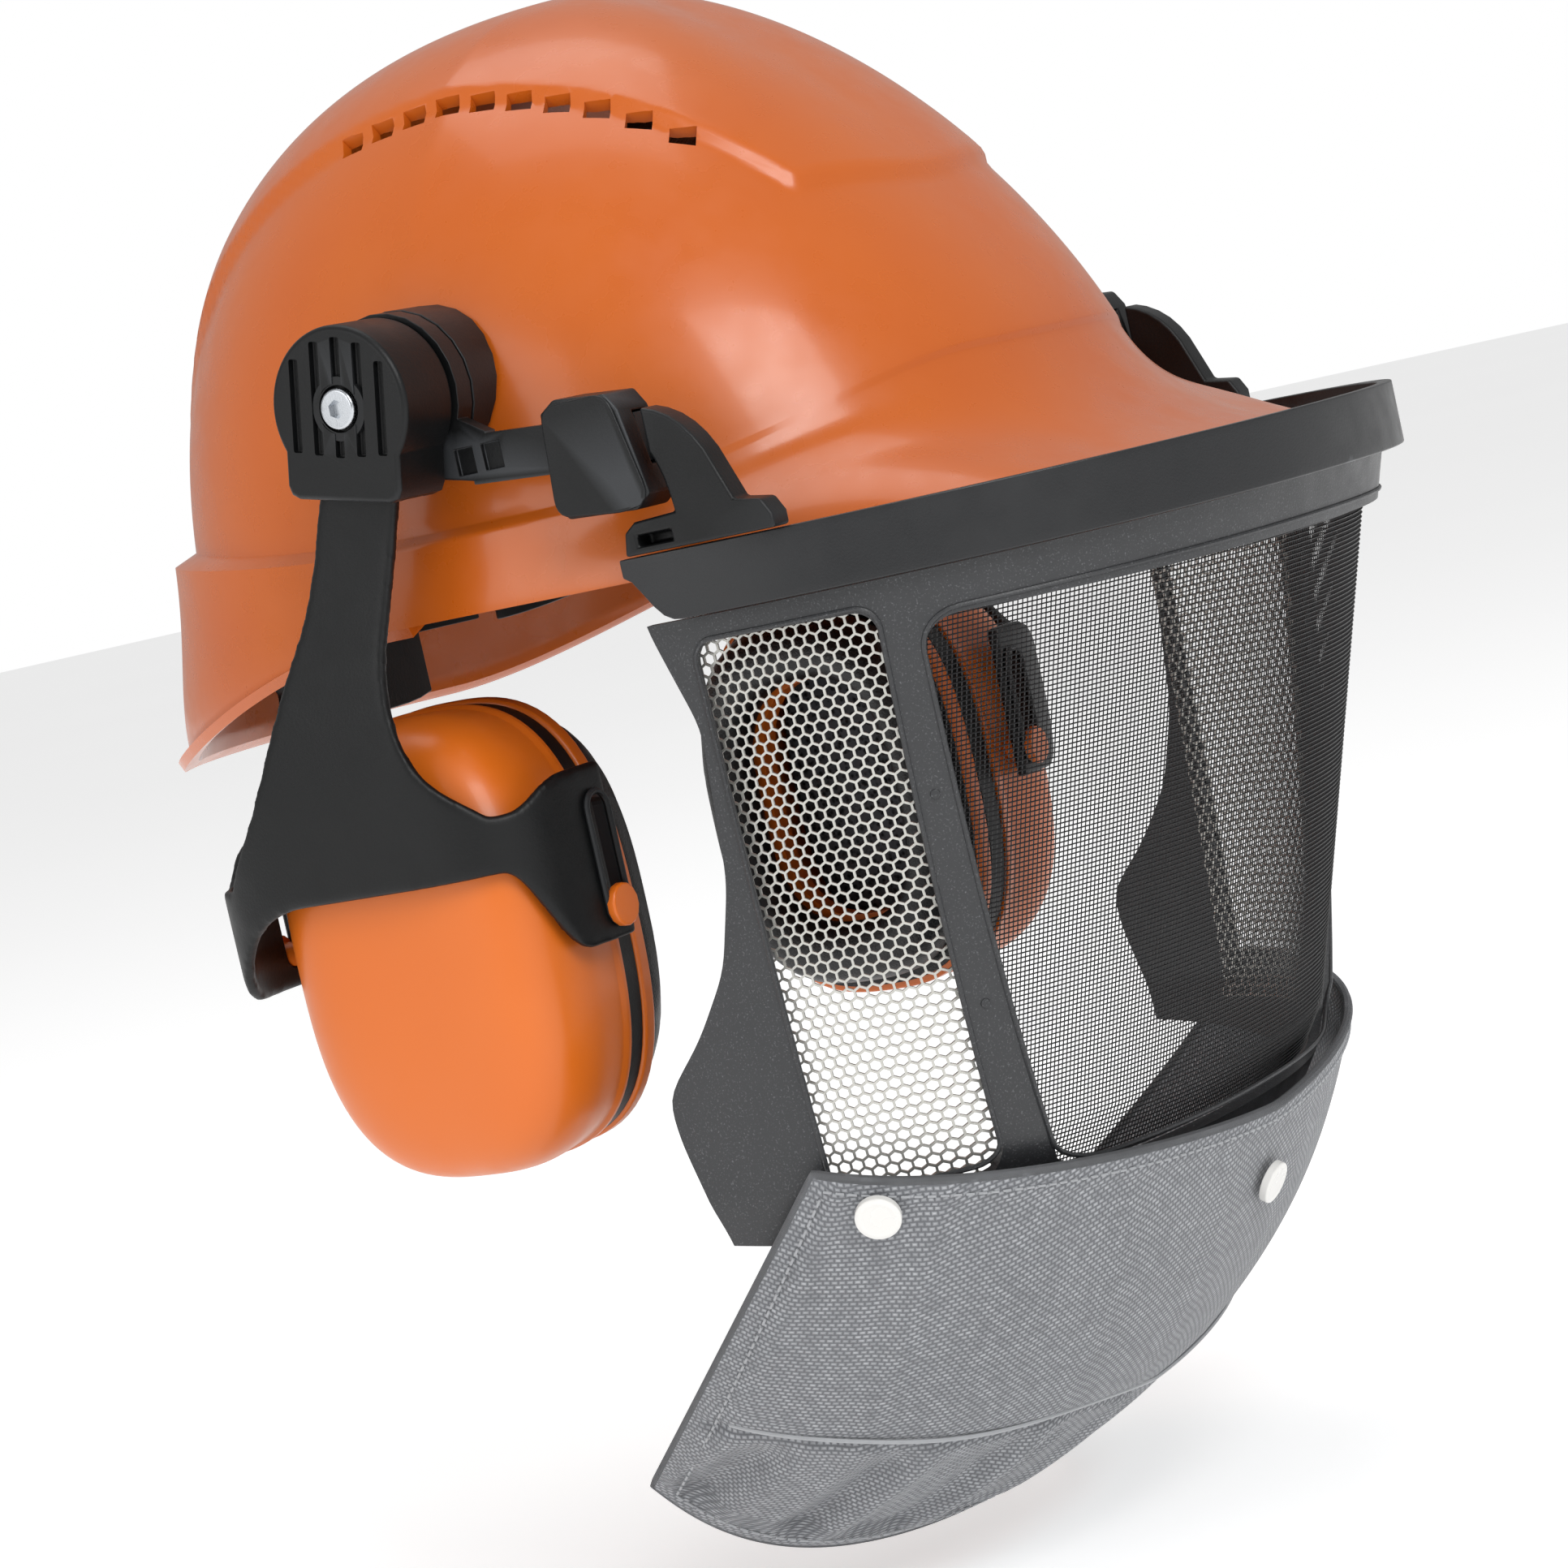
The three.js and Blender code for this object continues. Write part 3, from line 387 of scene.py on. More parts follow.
def refined(node: str, name: str, width: float, segments: int = 2, angle: float = 32) -> bpy.types.Object:
    """Copies a CAD node's mesh, merges it, and rounds its edges.

    Args:
        node: The CAD node that the copy takes its shape from.
        name: The copy's name.
        width: How wide the rounding is, in millimetres.
        segments: How many faces round an edge.
        angle: Edges that turn by more than this are rounded, in degrees.
    """
    copy = bpy.data.objects.new(name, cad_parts[node].data.copy())
    bpy.context.collection.objects.link(copy)
    with editing(copy):
        bpy.ops.mesh.remove_doubles(threshold=1e-5)
        bpy.ops.mesh.customdata_custom_splitnormals_clear()
        bpy.ops.mesh.dissolve_limited(angle_limit=math.radians(1.5))
    soften(copy, width, segments, angle)
    return copy


# ---- Finishes ----


def linear(code: str) -> tuple[float, float, float, float]:
    """Turns an sRGB hex value into a linear colour with full alpha."""
    parts = [int(code[i : i + 2], 16) / 255 for i in (1, 3, 5)]
    red, green, blue = [c / 12.92 if c <= 0.04045 else ((c + 0.055) / 1.055) ** 2.4 for c in parts]
    return red, green, blue, 1.0


def add_node(
    tree: bpy.types.NodeTree, kind: str, inputs: dict | None = None, **settings: object
) -> bpy.types.Node:
    """Adds a shader node, sets its values and links what feeds it.

    Args:
        tree: The node tree.
        kind: The node's type, without its "ShaderNode" prefix.
        inputs: Values or output sockets by the input's name or number.
        **settings: The node's own properties.
    """
    node = tree.nodes.new(f"ShaderNode{kind}")
    for name, value in settings.items():
        setattr(node, name, value)
    for key, value in (inputs or {}).items():
        if isinstance(value, bpy.types.NodeSocket):
            tree.links.new(value, node.inputs[key])
        else:
            node.inputs[key].default_value = value
    return node


def mixed(tree: bpy.types.NodeTree, part: object, low: object, high: object) -> bpy.types.NodeSocket:
    """Returns the colour that a part mixes from two."""
    node = add_node(tree, "Mix", {0: part, 6: low, 7: high}, data_type="RGBA")
    return node.outputs[2]


@dataclass(frozen=True)
class Finish:
    """What all finishes share: a name, two close colours, and a surface shader's constants."""

    name: str
    colour: str
    shade: str
    roughness: float = 0.5
    metallic: float = 0.0
    coat: float = 0.0
    sheen: float = 0.0
    ior: float = 1.5
    mottle: float = 40.0
    glow: float = 0.0

    def material(self) -> bpy.types.Material:
        """Makes the material on its first use, and returns it."""
        made = bpy.data.materials.get(self.name)
        if made:
            return made
        made = bpy.data.materials.new(self.name)
        made.use_nodes = True
        tree = made.node_tree
        tree.nodes.clear()
        surface = add_node(
            tree,
            "BsdfPrincipled",
            {
                "Roughness": self.roughness,
                "Metallic": self.metallic,
                "Coat Weight": self.coat,
                "Coat Roughness": 0.12,
                "Sheen Weight": self.sheen,
                "Sheen Roughness": 0.5,
                "IOR": self.ior,
                "Emission Color": (1.0, 1.0, 1.0, 1.0),
                "Emission Strength": self.glow,
            },
        )
        place = add_node(tree, "TexCoord").outputs["Object"]
        self.paint(tree, surface, place)
        output = add_node(tree, "OutputMaterial", {"Surface": surface.outputs["BSDF"]})
        output.is_active_output = True
        return made

    def noise(self, tree: bpy.types.NodeTree, place: object, size: float, detail: float = 2.0) -> object:
        """Returns a noise whose features are about a size in millimetres."""
        inputs = {"Vector": place, "Scale": 1000 / size, "Detail": detail}
        return add_node(tree, "TexNoise", inputs).outputs["Fac"]

    def mottled(self, tree: bpy.types.NodeTree, place: object) -> object:
        """Returns the colour, wandering between its two shades over some centimetres."""
        return mixed(tree, self.noise(tree, place, self.mottle), linear(self.colour), linear(self.shade))

    def vary_roughness(
        self, tree: bpy.types.NodeTree, surface: bpy.types.Node, noise: object, spread: float
    ) -> None:
        """Makes the roughness wander about its own value with a noise."""
        low, high = max(self.roughness - spread, 0.03), min(self.roughness + spread, 1)
        ramp = add_node(tree, "MapRange", {"Value": noise, 1: 0.3, 2: 0.7, 3: low, 4: high})
        tree.links.new(ramp.outputs[0], surface.inputs["Roughness"])

    def paint(self, tree: bpy.types.NodeTree, surface: bpy.types.Node, place: object) -> None:
        """Links the colour to the surface. Finishes with more to show extend this."""
        tree.links.new(self.mottled(tree, place), surface.inputs["Base Color"])


@dataclass(frozen=True)
class MouldedPlastic(Finish):
    """Injection-moulded plastic: a fine grain from the tool, and convex edges painted paler as a highlight.
    """

    grain: float = 0.8
    depth: float = 0.04
    edge: str = ""
    painted_glint: str = ""

    def paint(self, tree: bpy.types.NodeTree, surface: bpy.types.Node, place: object) -> None:
        """Adds the grain's relief and gloss, a painted highlight on the grain's tops, and a painted highlight
        on the convex edges.
        """
        colour = self.mottled(tree, place)
        grain = self.noise(tree, place, self.grain, 3.0)
        if self.painted_glint:
            # Painted highlight: the tops of the grain are coloured pale, as glints where they catch the
            # light.
            glint_mask = add_node(tree, "MapRange", {"Value": grain, 1: 0.58, 2: 0.8}).outputs[0]
            colour = mixed(tree, glint_mask, colour, linear(self.painted_glint))
        if self.edge:
            # Painted highlight: convex edges, found by pointiness, are coloured paler as if they caught the
            # light.
            convex = add_node(tree, "NewGeometry").outputs["Pointiness"]
            painted_edge_highlight = add_node(tree, "MapRange", {"Value": convex, 1: 0.53, 2: 0.62, 4: 0.6}).outputs[0]
            colour = mixed(tree, painted_edge_highlight, colour, linear(self.edge))
        tree.links.new(colour, surface.inputs["Base Color"])
        self.vary_roughness(tree, surface, self.noise(tree, place, 9.0, 4.0), 0.06)
        bump = add_node(tree, "Bump", {"Height": grain, "Distance": self.depth * MM, "Strength": 1.0})
        tree.links.new(bump.outputs[0], surface.inputs["Normal"])


@dataclass(frozen=True)
class BareMetal(Finish):
    """Bare or plated metal, with the fine scratches that brushing or turning leaves."""

    scratch: float = 0.3

    def paint(self, tree: bpy.types.NodeTree, surface: bpy.types.Node, place: object) -> None:
        """Adds scratches to the colour, the gloss and the relief."""
        tree.links.new(self.mottled(tree, place), surface.inputs["Base Color"])
        stretch = add_node(tree, "Mapping", {"Vector": place, "Scale": (1.0, 1.0, 0.12)})
        scratches = self.noise(tree, stretch.outputs[0], self.scratch, 2.0)
        self.vary_roughness(tree, surface, scratches, 0.12)
        bump = add_node(tree, "Bump", {"Height": scratches, "Distance": 0.01 * MM, "Strength": 0.6})
        tree.links.new(bump.outputs[0], surface.inputs["Normal"])


@dataclass(frozen=True)
class WovenCloth(Finish):
    """Woven cloth: raised threads in offset rows, on the piece's own UV map in metres."""

    thread: str = "#a5a8ac"
    width: float = 1.7
    height: float = 1.3
    gap: float = 0.5
    offset: float = 0.5
    depth: float = 0.15
    turn: float = 0.0

    def paint(self, tree: bpy.types.NodeTree, surface: bpy.types.Node, place: object) -> None:
        """Draws the threads as rounded dashes, paler than the gaps as painted highlight on their tops, and
        lets the cloth's colour wander.
        """
        sheet = add_node(tree, "TexCoord").outputs["UV"]
        turn = (0, 0, math.radians(self.turn))
        turned = add_node(tree, "Mapping", {"Vector": sheet, "Rotation": turn}).outputs[0]
        weave = add_node(
            tree,
            "TexBrick",
            {
                "Vector": turned,
                "Color1": (1, 1, 1, 1),
                "Color2": (0.8, 0.8, 0.8, 1),
                "Mortar": (0, 0, 0, 1),
                "Scale": 1000.0,
                "Mortar Size": self.gap,
                "Mortar Smooth": 1.0,
                "Brick Width": self.width,
                "Row Height": self.height,
            },
            offset=self.offset,
        ).outputs["Color"]
        ground = self.mottled(tree, place)
        uneven = self.noise(tree, place, 3.0)
        shown = add_node(tree, "MapRange", {"Value": uneven, 1: 0.3, 2: 0.7, 3: 0.45, 4: 1.0}).outputs[0]
        part = add_node(tree, "Math", {0: weave, 1: shown}, operation="MULTIPLY").outputs[0]
        # The weave's layout is the cloth's own pattern; the threads' paler colour is painted highlight on
        # their tops.
        tree.links.new(mixed(tree, part, ground, linear(self.thread)), surface.inputs["Base Color"])
        bump = add_node(tree, "Bump", {"Height": weave, "Distance": self.depth * MM, "Strength": 1.0})
        tree.links.new(bump.outputs[0], surface.inputs["Normal"])


@dataclass(frozen=True)
class GrainedSkin(Finish):
    """Soft vinyl or imitation leather: shallow creased cells with a dull gloss."""

    cell: float = 1.1
    depth: float = 0.12
    holes: float = 0.0

    def paint(self, tree: bpy.types.NodeTree, surface: bpy.types.Node, place: object) -> None:
        """Draws the cells' creases in the relief, and darker in the colour as painted shade; pierced holes
        are painted near-black as shade.
        """
        inputs = {"Vector": place, "Scale": 1000 / self.cell}
        cells = add_node(tree, "TexVoronoi", inputs, feature="DISTANCE_TO_EDGE").outputs["Distance"]
        crease = add_node(tree, "MapRange", {"Value": cells, 1: 0.0, 2: 0.18}).outputs[0]
        # Painted shade: the creases take the darker colour.
        colour = mixed(tree, crease, linear(self.shade), self.mottled(tree, place))
        if self.holes:
            spacing = {"Vector": place, "Scale": 1000 / self.holes, "Randomness": 0.0}
            dots = add_node(tree, "TexVoronoi", spacing)
            edge = add_node(tree, "MapRange", {"Value": dots.outputs["Distance"], 1: 0.2, 2: 0.26}).outputs[0]
            # Painted shade: the holes are coloured near-black for the dark inside them.
            colour = mixed(tree, edge, linear("#060606"), colour)
        tree.links.new(colour, surface.inputs["Base Color"])
        self.vary_roughness(tree, surface, self.noise(tree, place, 14.0, 3.0), 0.08)
        bump = add_node(tree, "Bump", {"Height": crease, "Distance": self.depth * MM, "Strength": 0.8})
        tree.links.new(bump.outputs[0], surface.inputs["Normal"])


@dataclass(frozen=True)
class OpenFoam(Finish):
    """Open-cell foam: pores of mixed size, painted dark as shade, in a soft ground."""

    pore: float = 1.6

    def paint(self, tree: bpy.types.NodeTree, surface: bpy.types.Node, place: object) -> None:
        """Draws the pores deep in the relief and dark in the colour, as painted shade."""
        pores = add_node(tree, "TexVoronoi", {"Vector": place, "Scale": 1000 / self.pore}).outputs["Distance"]
        wall = add_node(tree, "MapRange", {"Value": pores, 1: 0.15, 2: 0.5}).outputs[0]
        # Painted shade: the pores take a near-black colour.
        colour = mixed(tree, wall, linear("#0c0c0d"), self.mottled(tree, place))
        tree.links.new(colour, surface.inputs["Base Color"])
        bump = add_node(tree, "Bump", {"Height": wall, "Distance": 0.5 * MM, "Strength": 1.0})
        tree.links.new(bump.outputs[0], surface.inputs["Normal"])


# Moulded ABS, tool-polished: a smooth gloss with a slight orange-peel ripple.
SHELL_ABS = MouldedPlastic("shell_abs_moulded", "#cb651a", "#c35a13", 0.3, coat=0.25, grain=2.2, depth=0.012)
# Moulded ABS with a satin tool: softer highlights and a warmer orange than the shell.
CUP_ABS = MouldedPlastic("cup_abs_moulded", "#dd6f1b", "#d66817", 0.36, coat=0.1, grain=0.9, depth=0.012)
# Glass-filled nylon from a spark-eroded tool: black with a sandy sheen, and a painted highlight that makes
# its edges paler.
BLACK_NYLON = MouldedPlastic(
    "black_nylon_spark_eroded", "#0d0e0f", "#090a0b", 0.44, ior=1.38, grain=0.7, depth=0.05, edge="#45474a"
)
# The visor's polypropylene from a coarse-grained tool: dark grey, with a painted highlight on the grain's
# tops for their sparkle.
GRAINED_PP = MouldedPlastic(
    "grained_polypropylene_moulded", "#343537", "#2b2c2e", 0.4, grain=0.45, depth=0.08, painted_glint="#68696c"
)
# The brow bar's polypropylene from a finer tool: darker, with a broad satin sheen and a painted highlight on
# its edges.
SATIN_PP = MouldedPlastic(
    "satin_polypropylene_moulded", "#1f2022", "#191a1c", 0.34, grain=0.5, depth=0.03, edge="#5a5c5f"
)
# Zinc-plated steel, turned: bright with fine rings.
ZINC_STEEL = BareMetal("steel_zinc_plated", "#cfd2d6", "#b9bdc2", 0.28, metallic=1.0)
# Stainless sheet, etched through: pale and dull, so it stays light against dark.
ETCHED_STEEL = BareMetal("stainless_sheet_etched", "#d2d1cb", "#bab9b3", 0.42, metallic=0.75)
# Steel wire, woven and black-coated: nearly black with a low gloss.
COATED_WIRE = BareMetal("steel_wire_black_coated", "#1c1c1e", "#121214", 0.4, metallic=0.2)
# Polyurethane-coated polyester canvas: a mid grey, its threads' tops paler as painted highlight.
CANVAS = WovenCloth(
    "polyester_canvas_coated",
    "#66686c",
    "#5b5d61",
    0.65,
    sheen=0.15,
    thread="#b9bbbf",
    gap=0.6,
    turn=-18.0,
    depth=0.2,
    mottle=30.0,
)
# The bib's binding and thread: the same grey, finer.
BINDING = WovenCloth(
    "polyester_binding_woven",
    "#6f7175",
    "#63656a",
    0.75,
    sheen=0.2,
    thread="#8f9296",
    width=0.9,
    height=0.7,
    gap=0.25,
)
THREAD = Finish("polyester_thread_twisted", "#a9abae", "#96989b", 0.6, sheen=0.3, mottle=2.0)
# Polyamide webbing of the cradle: black, with ribs of about a millimetre across it.
WEBBING = WovenCloth(
    "polyamide_webbing_woven",
    "#242528",
    "#1b1c1f",
    0.8,
    sheen=0.3,
    thread="#3d3f43",
    width=1.2,
    height=1.8,
    gap=0.35,
)
# Imitation leather on a foam core, pierced for sweat.
SWEAT_SKIN = GrainedSkin("imitation_leather_pierced", "#2b2523", "#1a1615", 0.62, cell=1.3, holes=4.5)
# Soft vinyl round the ear cushion: black with a dull gloss.
VINYL = GrainedSkin("vinyl_film_welded", "#17181a", "#0d0e0f", 0.42, cell=1.0, depth=0.06)
FOAM = OpenFoam("polyurethane_foam_cut", "#55575b", "#46484c", 0.95, mottle=18.0)
# Acetal snaps, moulded: clean white with a soft gloss.
ACETAL = MouldedPlastic("white_acetal_moulded", "#eeedea", "#e2e1dd", 0.25, coat=0.2, grain=1.5, depth=0.01)


def dress(piece: bpy.types.Object, finish: Finish, body: str, slot: str, *nodes: str) -> bpy.types.Object:
    """Gives a finished piece its material and shading and its body, and hides the nodes it stands for.

    Args:
        piece: The piece, at the origin.
        finish: Its finish.
        body: The CAD body that it rides on.
        slot: Not used.
        *nodes: The CAD nodes that it replaces.
    """
    piece.data.materials.clear()
    piece.data.materials.append(finish.material())
    select_only(piece)
    bpy.ops.object.shade_smooth_by_angle(angle=math.radians(38))
    modify(piece, "WEIGHTED_NORMAL", keep_sharp=True)
    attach(piece, body)
    if nodes:
        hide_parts(*nodes)
    LOG.info("%s: %d faces on %s", piece.name, len(piece.data.polygons), body)
    return piece


# ---- Shell ----


@dataclass(frozen=True)
class Shell:
    """The moulded shell: a dome with a raised crown panel, a peak and a rear skirt."""

    half_width: float = 106
    front: float = 122
    rear: float = 124
    height: float = 136.5
    centre_y: float = -6.5
    crown_shift: float = -3
    plan_power: float = 2.23
    wall: float = 2.6
    vents: int = 10
    first_vent: float = 16.8
    last_vent: float = -63.9

    def power(self, theta: np.ndarray) -> np.ndarray:
        """Returns how full the dome's upright section is, in front, at the side or behind."""
        ahead = np.cos(theta)
        return 2.3 + np.maximum(ahead, 0) * (1.5 - 2.3) + np.maximum(-ahead, 0) * (2.5 - 2.3)

    def dome(self, theta: np.ndarray, rise: np.ndarray) -> np.ndarray:
        """Returns points of the plain dome: theta is 0 in front, and rise 90 degrees at the crown."""
        power = self.power(theta)
        spread = (np.abs(np.cos(rise)) ** power + np.abs(np.sin(rise)) ** power) ** (-1 / power)
        depth = np.where(np.cos(theta) > 0, self.front, self.rear)
        x, y = superellipse(theta, self.half_width, depth, self.plan_power)
        wide, high = np.cos(rise) * spread, np.sin(rise) * spread
        return stacked(x * wide, self.centre_y + self.crown_shift * high - y * wide, self.height * high)

    def rise_at(self, theta: np.ndarray, z: np.ndarray) -> np.ndarray:
        """Returns the rise at which the dome passes a height."""
        power = self.power(theta)
        part = (z / self.height) ** power
        return np.arctan((part / (1 - part)) ** (1 / power))

    def panel_half_width(self, y: object) -> object:
        """Returns the half-width of the raised crown panel."""
        return 65.2 + 0.105 * y - 0.0016 * y * y

    def panel_lift(self, points: np.ndarray) -> np.ndarray:
        """Returns how far the crown panel stands above the dome."""
        x, y = points[..., 0], points[..., 1]
        side = self.panel_half_width(y) - np.abs(x)
        ahead = y + 92.8 - 9.5 * (x / 47.4) ** 2
        edge = smoothstep(np.minimum(side, ahead), -1.4, 1.4)
        return 2.2 * edge * (1 - smoothstep(y, 70, 95)) * (points[..., 2] > 60)

    def surface(self, theta: np.ndarray, run: np.ndarray) -> np.ndarray:
        """Returns points of the outer surface.

        Args:
            theta: The turn round the shell, 0 in front.
            run: The way down: 0 at the crown, 1 at the ledge, 2 at the edge and 2.1 past its lip.
        """
        turn = np.abs(theta)
        peak = 1 - smoothstep(turn, math.radians(20), math.radians(75))
        nape = smoothstep(turn, math.radians(90), math.radians(150))
        rise = self.rise_at(theta, lerp(lerp(20, 27, nape), 36, peak))
        crown = self.dome(theta, lerp(math.pi / 2, rise, np.clip(run, 0, 1)))
        lift = unit(crown - np.array([0, self.centre_y, 20]))
        crown = crown + lift * self.panel_lift(crown)[..., None]
        foot = self.dome(theta, rise)
        slope = unit(self.dome(theta, rise - 0.02) - foot)
        outward = unit((foot - np.array([0, self.centre_y, 0])) * np.array([1, 1, 0]))
        ledge = foot + outward * (lerp(2, 6, nape) * (1 - peak))[..., None] - np.array([0, 0, 2.4])
        ahead = np.cos(theta) > 0
        reach, power = np.where(ahead, 164.5, 140), np.where(ahead, 2.6, self.plan_power)
        x, y = superellipse(theta, 109, reach, power)
        edge_z = -1 * peak - 22.5 * smoothstep(turn, math.radians(95), math.radians(150))
        edge = stacked(x, self.centre_y - y, edge_z)
        drop = ledge[..., 2] - edge_z
        tilt = outward * peak[..., None] + stacked(0, 0, lerp(-1, -0.22, peak))
        leave = unit(tilt)
        bend = lerp(0.3 * drop, 36, peak)[..., None]
        controls = [ledge, ledge + slope * (0.45 * drop)[..., None], edge - leave * bend, edge]
        skirt = bezier(controls, np.clip((run - 1.15) / 0.85, 0, 1))
        lip = (np.maximum(run - 2, 0) * 10 * nape)[..., None]
        skirt = skirt + outward * 3.5 * lip - np.array([0, 0, 1.5]) * lip
        step = lerp(foot, ledge, np.clip((run - 1) / 0.15, 0, 1)[..., None])
        run = run[..., None]
        return np.where(run <= 1, crown, np.where(run <= 1.15, step, skirt))

    def vent_tool(self, y: float, sign: int) -> bpy.types.Object:
        """Adds a box square to the dome where the crown panel's edge passes a Y."""
        x = self.panel_half_width(y) + 1.5
        theta = math.atan2(x / self.half_width, -(y - self.centre_y - self.crown_shift) / self.front)
        rises = np.linspace(0.3, 1.5, 600)
        ring = self.dome(np.full(600, theta), rises)
        spread = np.hypot(ring[:, 0], ring[:, 1] - self.centre_y - self.crown_shift)
        wanted = math.hypot(x, y - self.centre_y - self.crown_shift)
        centre = Vector(ring[np.argmin(np.abs(spread - wanted))])
        outward = (centre - Vector((0, self.centre_y, 20))).normalized()
        after = y + 2
        along = Vector((self.panel_half_width(after) - x + 1.5, after - y, 0))
        along = (along - outward * along.dot(outward)).normalized()
        across = outward.cross(along)
        basis = Matrix((along, across, outward)).transposed().to_4x4()
        tool = block("vent_tool", (-3.1, -2.3, -9), (3.1, 2.3, 9))
        tool.data.transform(Matrix.Translation(centre * MM) @ basis)
        if sign < 0:
            tool.data.transform(Matrix.Scale(-1, 4, (1, 0, 0)))
            tool.data.flip_normals()
        return tool

    def build(self) -> bpy.types.Object:
        """Lays the shell, gives it its wall and lip, and cuts the vents."""
        crown, ledge, skirt = np.linspace(0, 1, 86), np.linspace(1, 1.15, 5), np.linspace(1.15, 2.1, 32)
        rows = np.concatenate([crown, ledge[1:], skirt[1:]])
        steps = np.linspace(0, 1, len(rows))

        def place(u: np.ndarray, v: np.ndarray) -> np.ndarray:
            return self.surface(lerp(-math.pi, math.pi, u), np.interp(v, steps, rows))

        shell = laid_sheet("helmet_shell", 300, len(rows) - 1, place, (0, -6, 0))
        thicken(shell, self.wall)
        soften(shell, 0.7, 2, 55)
        places = np.linspace(self.first_vent, self.last_vent, self.vents)
        cut_with(shell, [self.vent_tool(y, sign) for y in places for sign in (1, -1)])
        return dress(shell, SHELL_ABS, "root", "shell_orange", "shell")


# ---- Cradle ----


@dataclass(frozen=True)
class Cradle:
    """The headband, its sweatband, the crown straps and the nape ratchet."""

    half_width: float = 77
    front: float = 98
    rear: float = 102
    power: float = 2.2
    centre_y: float = -4
    knob_y: float = 112.9
    knob_z: float = -11
    knob_radius: float = 15

    def level(self, theta: np.ndarray) -> np.ndarray:
        """Returns the height of the headband's centre line."""
        return 23 - 17 * smoothstep(np.abs(theta), math.radians(85), math.radians(150))

    def band(self, sweep: float, inset: float, height: float, bulge: float = 0) -> Place:
        """Returns the surface of a band round the head.

        Args:
            sweep: How far it reaches round each side, in degrees.
            inset: How far it lies inside the headband's outer face.
            height: Its height.
            bulge: How far its middle stands in towards the head.
        """

        def place(u: np.ndarray, v: np.ndarray) -> np.ndarray:
            theta = np.radians(lerp(-sweep, sweep, u))
            shrink = inset + bulge * (1 - (2 * v - 1) ** 4)
            depth = np.where(np.cos(theta) > 0, self.front, self.rear)
            x, y = superellipse(theta, self.half_width - shrink, depth - shrink, self.power)
            return stacked(x, self.centre_y - y, self.level(theta) + height * (v - 0.5))

        return place

    def build(self) -> None:
        """Builds all the cradle's pieces."""
        headband = laid_sheet("headband_strip", 160, 6, self.band(150, 0, 28), (0, 0, 20))
        thicken(headband, 2)
        soften(headband, 0.5)
        dress(headband, BLACK_NYLON, "root", "black_plastic", "headband")
        pad = laid_sheet("sweat_pad", 110, 12, self.band(62, 2.6, 29, 0.8), (0, 0, 20))
        thicken(pad, 1.5)
        soften(pad, 0.5, 3)
        dress(pad, SWEAT_SKIN, "root", "sweat_padding", "sweatband")
        for node in [f"cradle_clip_{angle}_{side.name.lower()}" for angle in (32, 90, 148) for side in Side]:
            clip = refined(node, node.replace("cradle_clip", "strap_clip"), 0.6)
            dress(clip, BLACK_NYLON, "root", "black_plastic", node)
        for node in ("crown_strap_front_left", "crown_strap_front_right", "crown_strap_side"):
            self.strap(node)
        cover = refined("nape_housing", "nape_cover", 1.2, 3)
        dress(cover, BLACK_NYLON, "root", "black_plastic", "nape_housing")
        for side in Side:
            node = side.named("rack_tail")
            tail = refined(node, side.named("rack_strip"), 0.4)
            dress(tail, BLACK_NYLON, side.named("rack"), "black_plastic", node)
        pinion = refined("knob_pinion", "ratchet_pinion", 0.2)
        dress(pinion, BLACK_NYLON, "knob", "black_plastic", "knob_pinion")
        self.knob()

    def strap(self, node: str) -> None:
        """Turns a crown strap into webbing with soft edges."""
        strap = refined(node, node.replace("crown_strap", "crown_webbing"), 0.3, 2, 60)
        with editing(strap):
            bpy.ops.mesh.subdivide(number_cuts=1)
        low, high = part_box(node)
        run = high - low
        points = points_of(strap)
        corners = np.empty(len(strap.data.loops), np.int32)
        strap.data.loops.foreach_get("vertex_index", corners)
        across_head = node.endswith("side")
        sideways = run.x if across_head or node.endswith("left") else -run.x
        heading = unit(np.array([[sideways, 0 if across_head else run.y]]))[0]
        along = points[:, :2] @ heading * 1.25
        across = points[:, :2] @ np.array([-heading[1], heading[0]])
        layer = strap.data.uv_layers.active or strap.data.uv_layers.new(name="UVMap")
        layer.data.foreach_set("uv", np.stack([along, across], -1)[corners].astype(np.float32).ravel())
        dress(strap, WEBBING, "root", "webbing", node)

    def knob(self) -> None:
        """Makes the ratchet's knob: a fluted wheel with a dished face."""
        inner, outer = (0, self.knob_y, self.knob_z), (0, self.knob_y + 10, self.knob_z)
        knob = rod("ratchet_wheel", inner, outer, self.knob_radius, 112)
        points = points_of(knob) / MM
        angle = np.arctan2(points[:, 2] - self.knob_z, points[:, 0])
        scale = 1 - 0.04 * (1 - np.cos(14 * angle))
        points[:, 0] *= scale
        points[:, 2] = self.knob_z + (points[:, 2] - self.knob_z) * scale
        move_points(knob, points * MM)
        soften(knob, 1.0, 3, 50)
        dish = rod("dish", (0, self.knob_y + 8.6, self.knob_z), (0, self.knob_y + 12, self.knob_z), 10, 64)
        cut_with(knob, [dish])
        low, high = (-9, self.knob_y + 7, self.knob_z - 1.5), (9, self.knob_y + 10, self.knob_z + 1.5)
        grip = block("grip", low, high)
        soften(grip, 0.6, 2)
        dress(join("ratchet_wheel", [knob, grip]), BLACK_NYLON, "knob", "black_plastic", "ratchet_knob")


# ---- Hub, carrier and slider ----


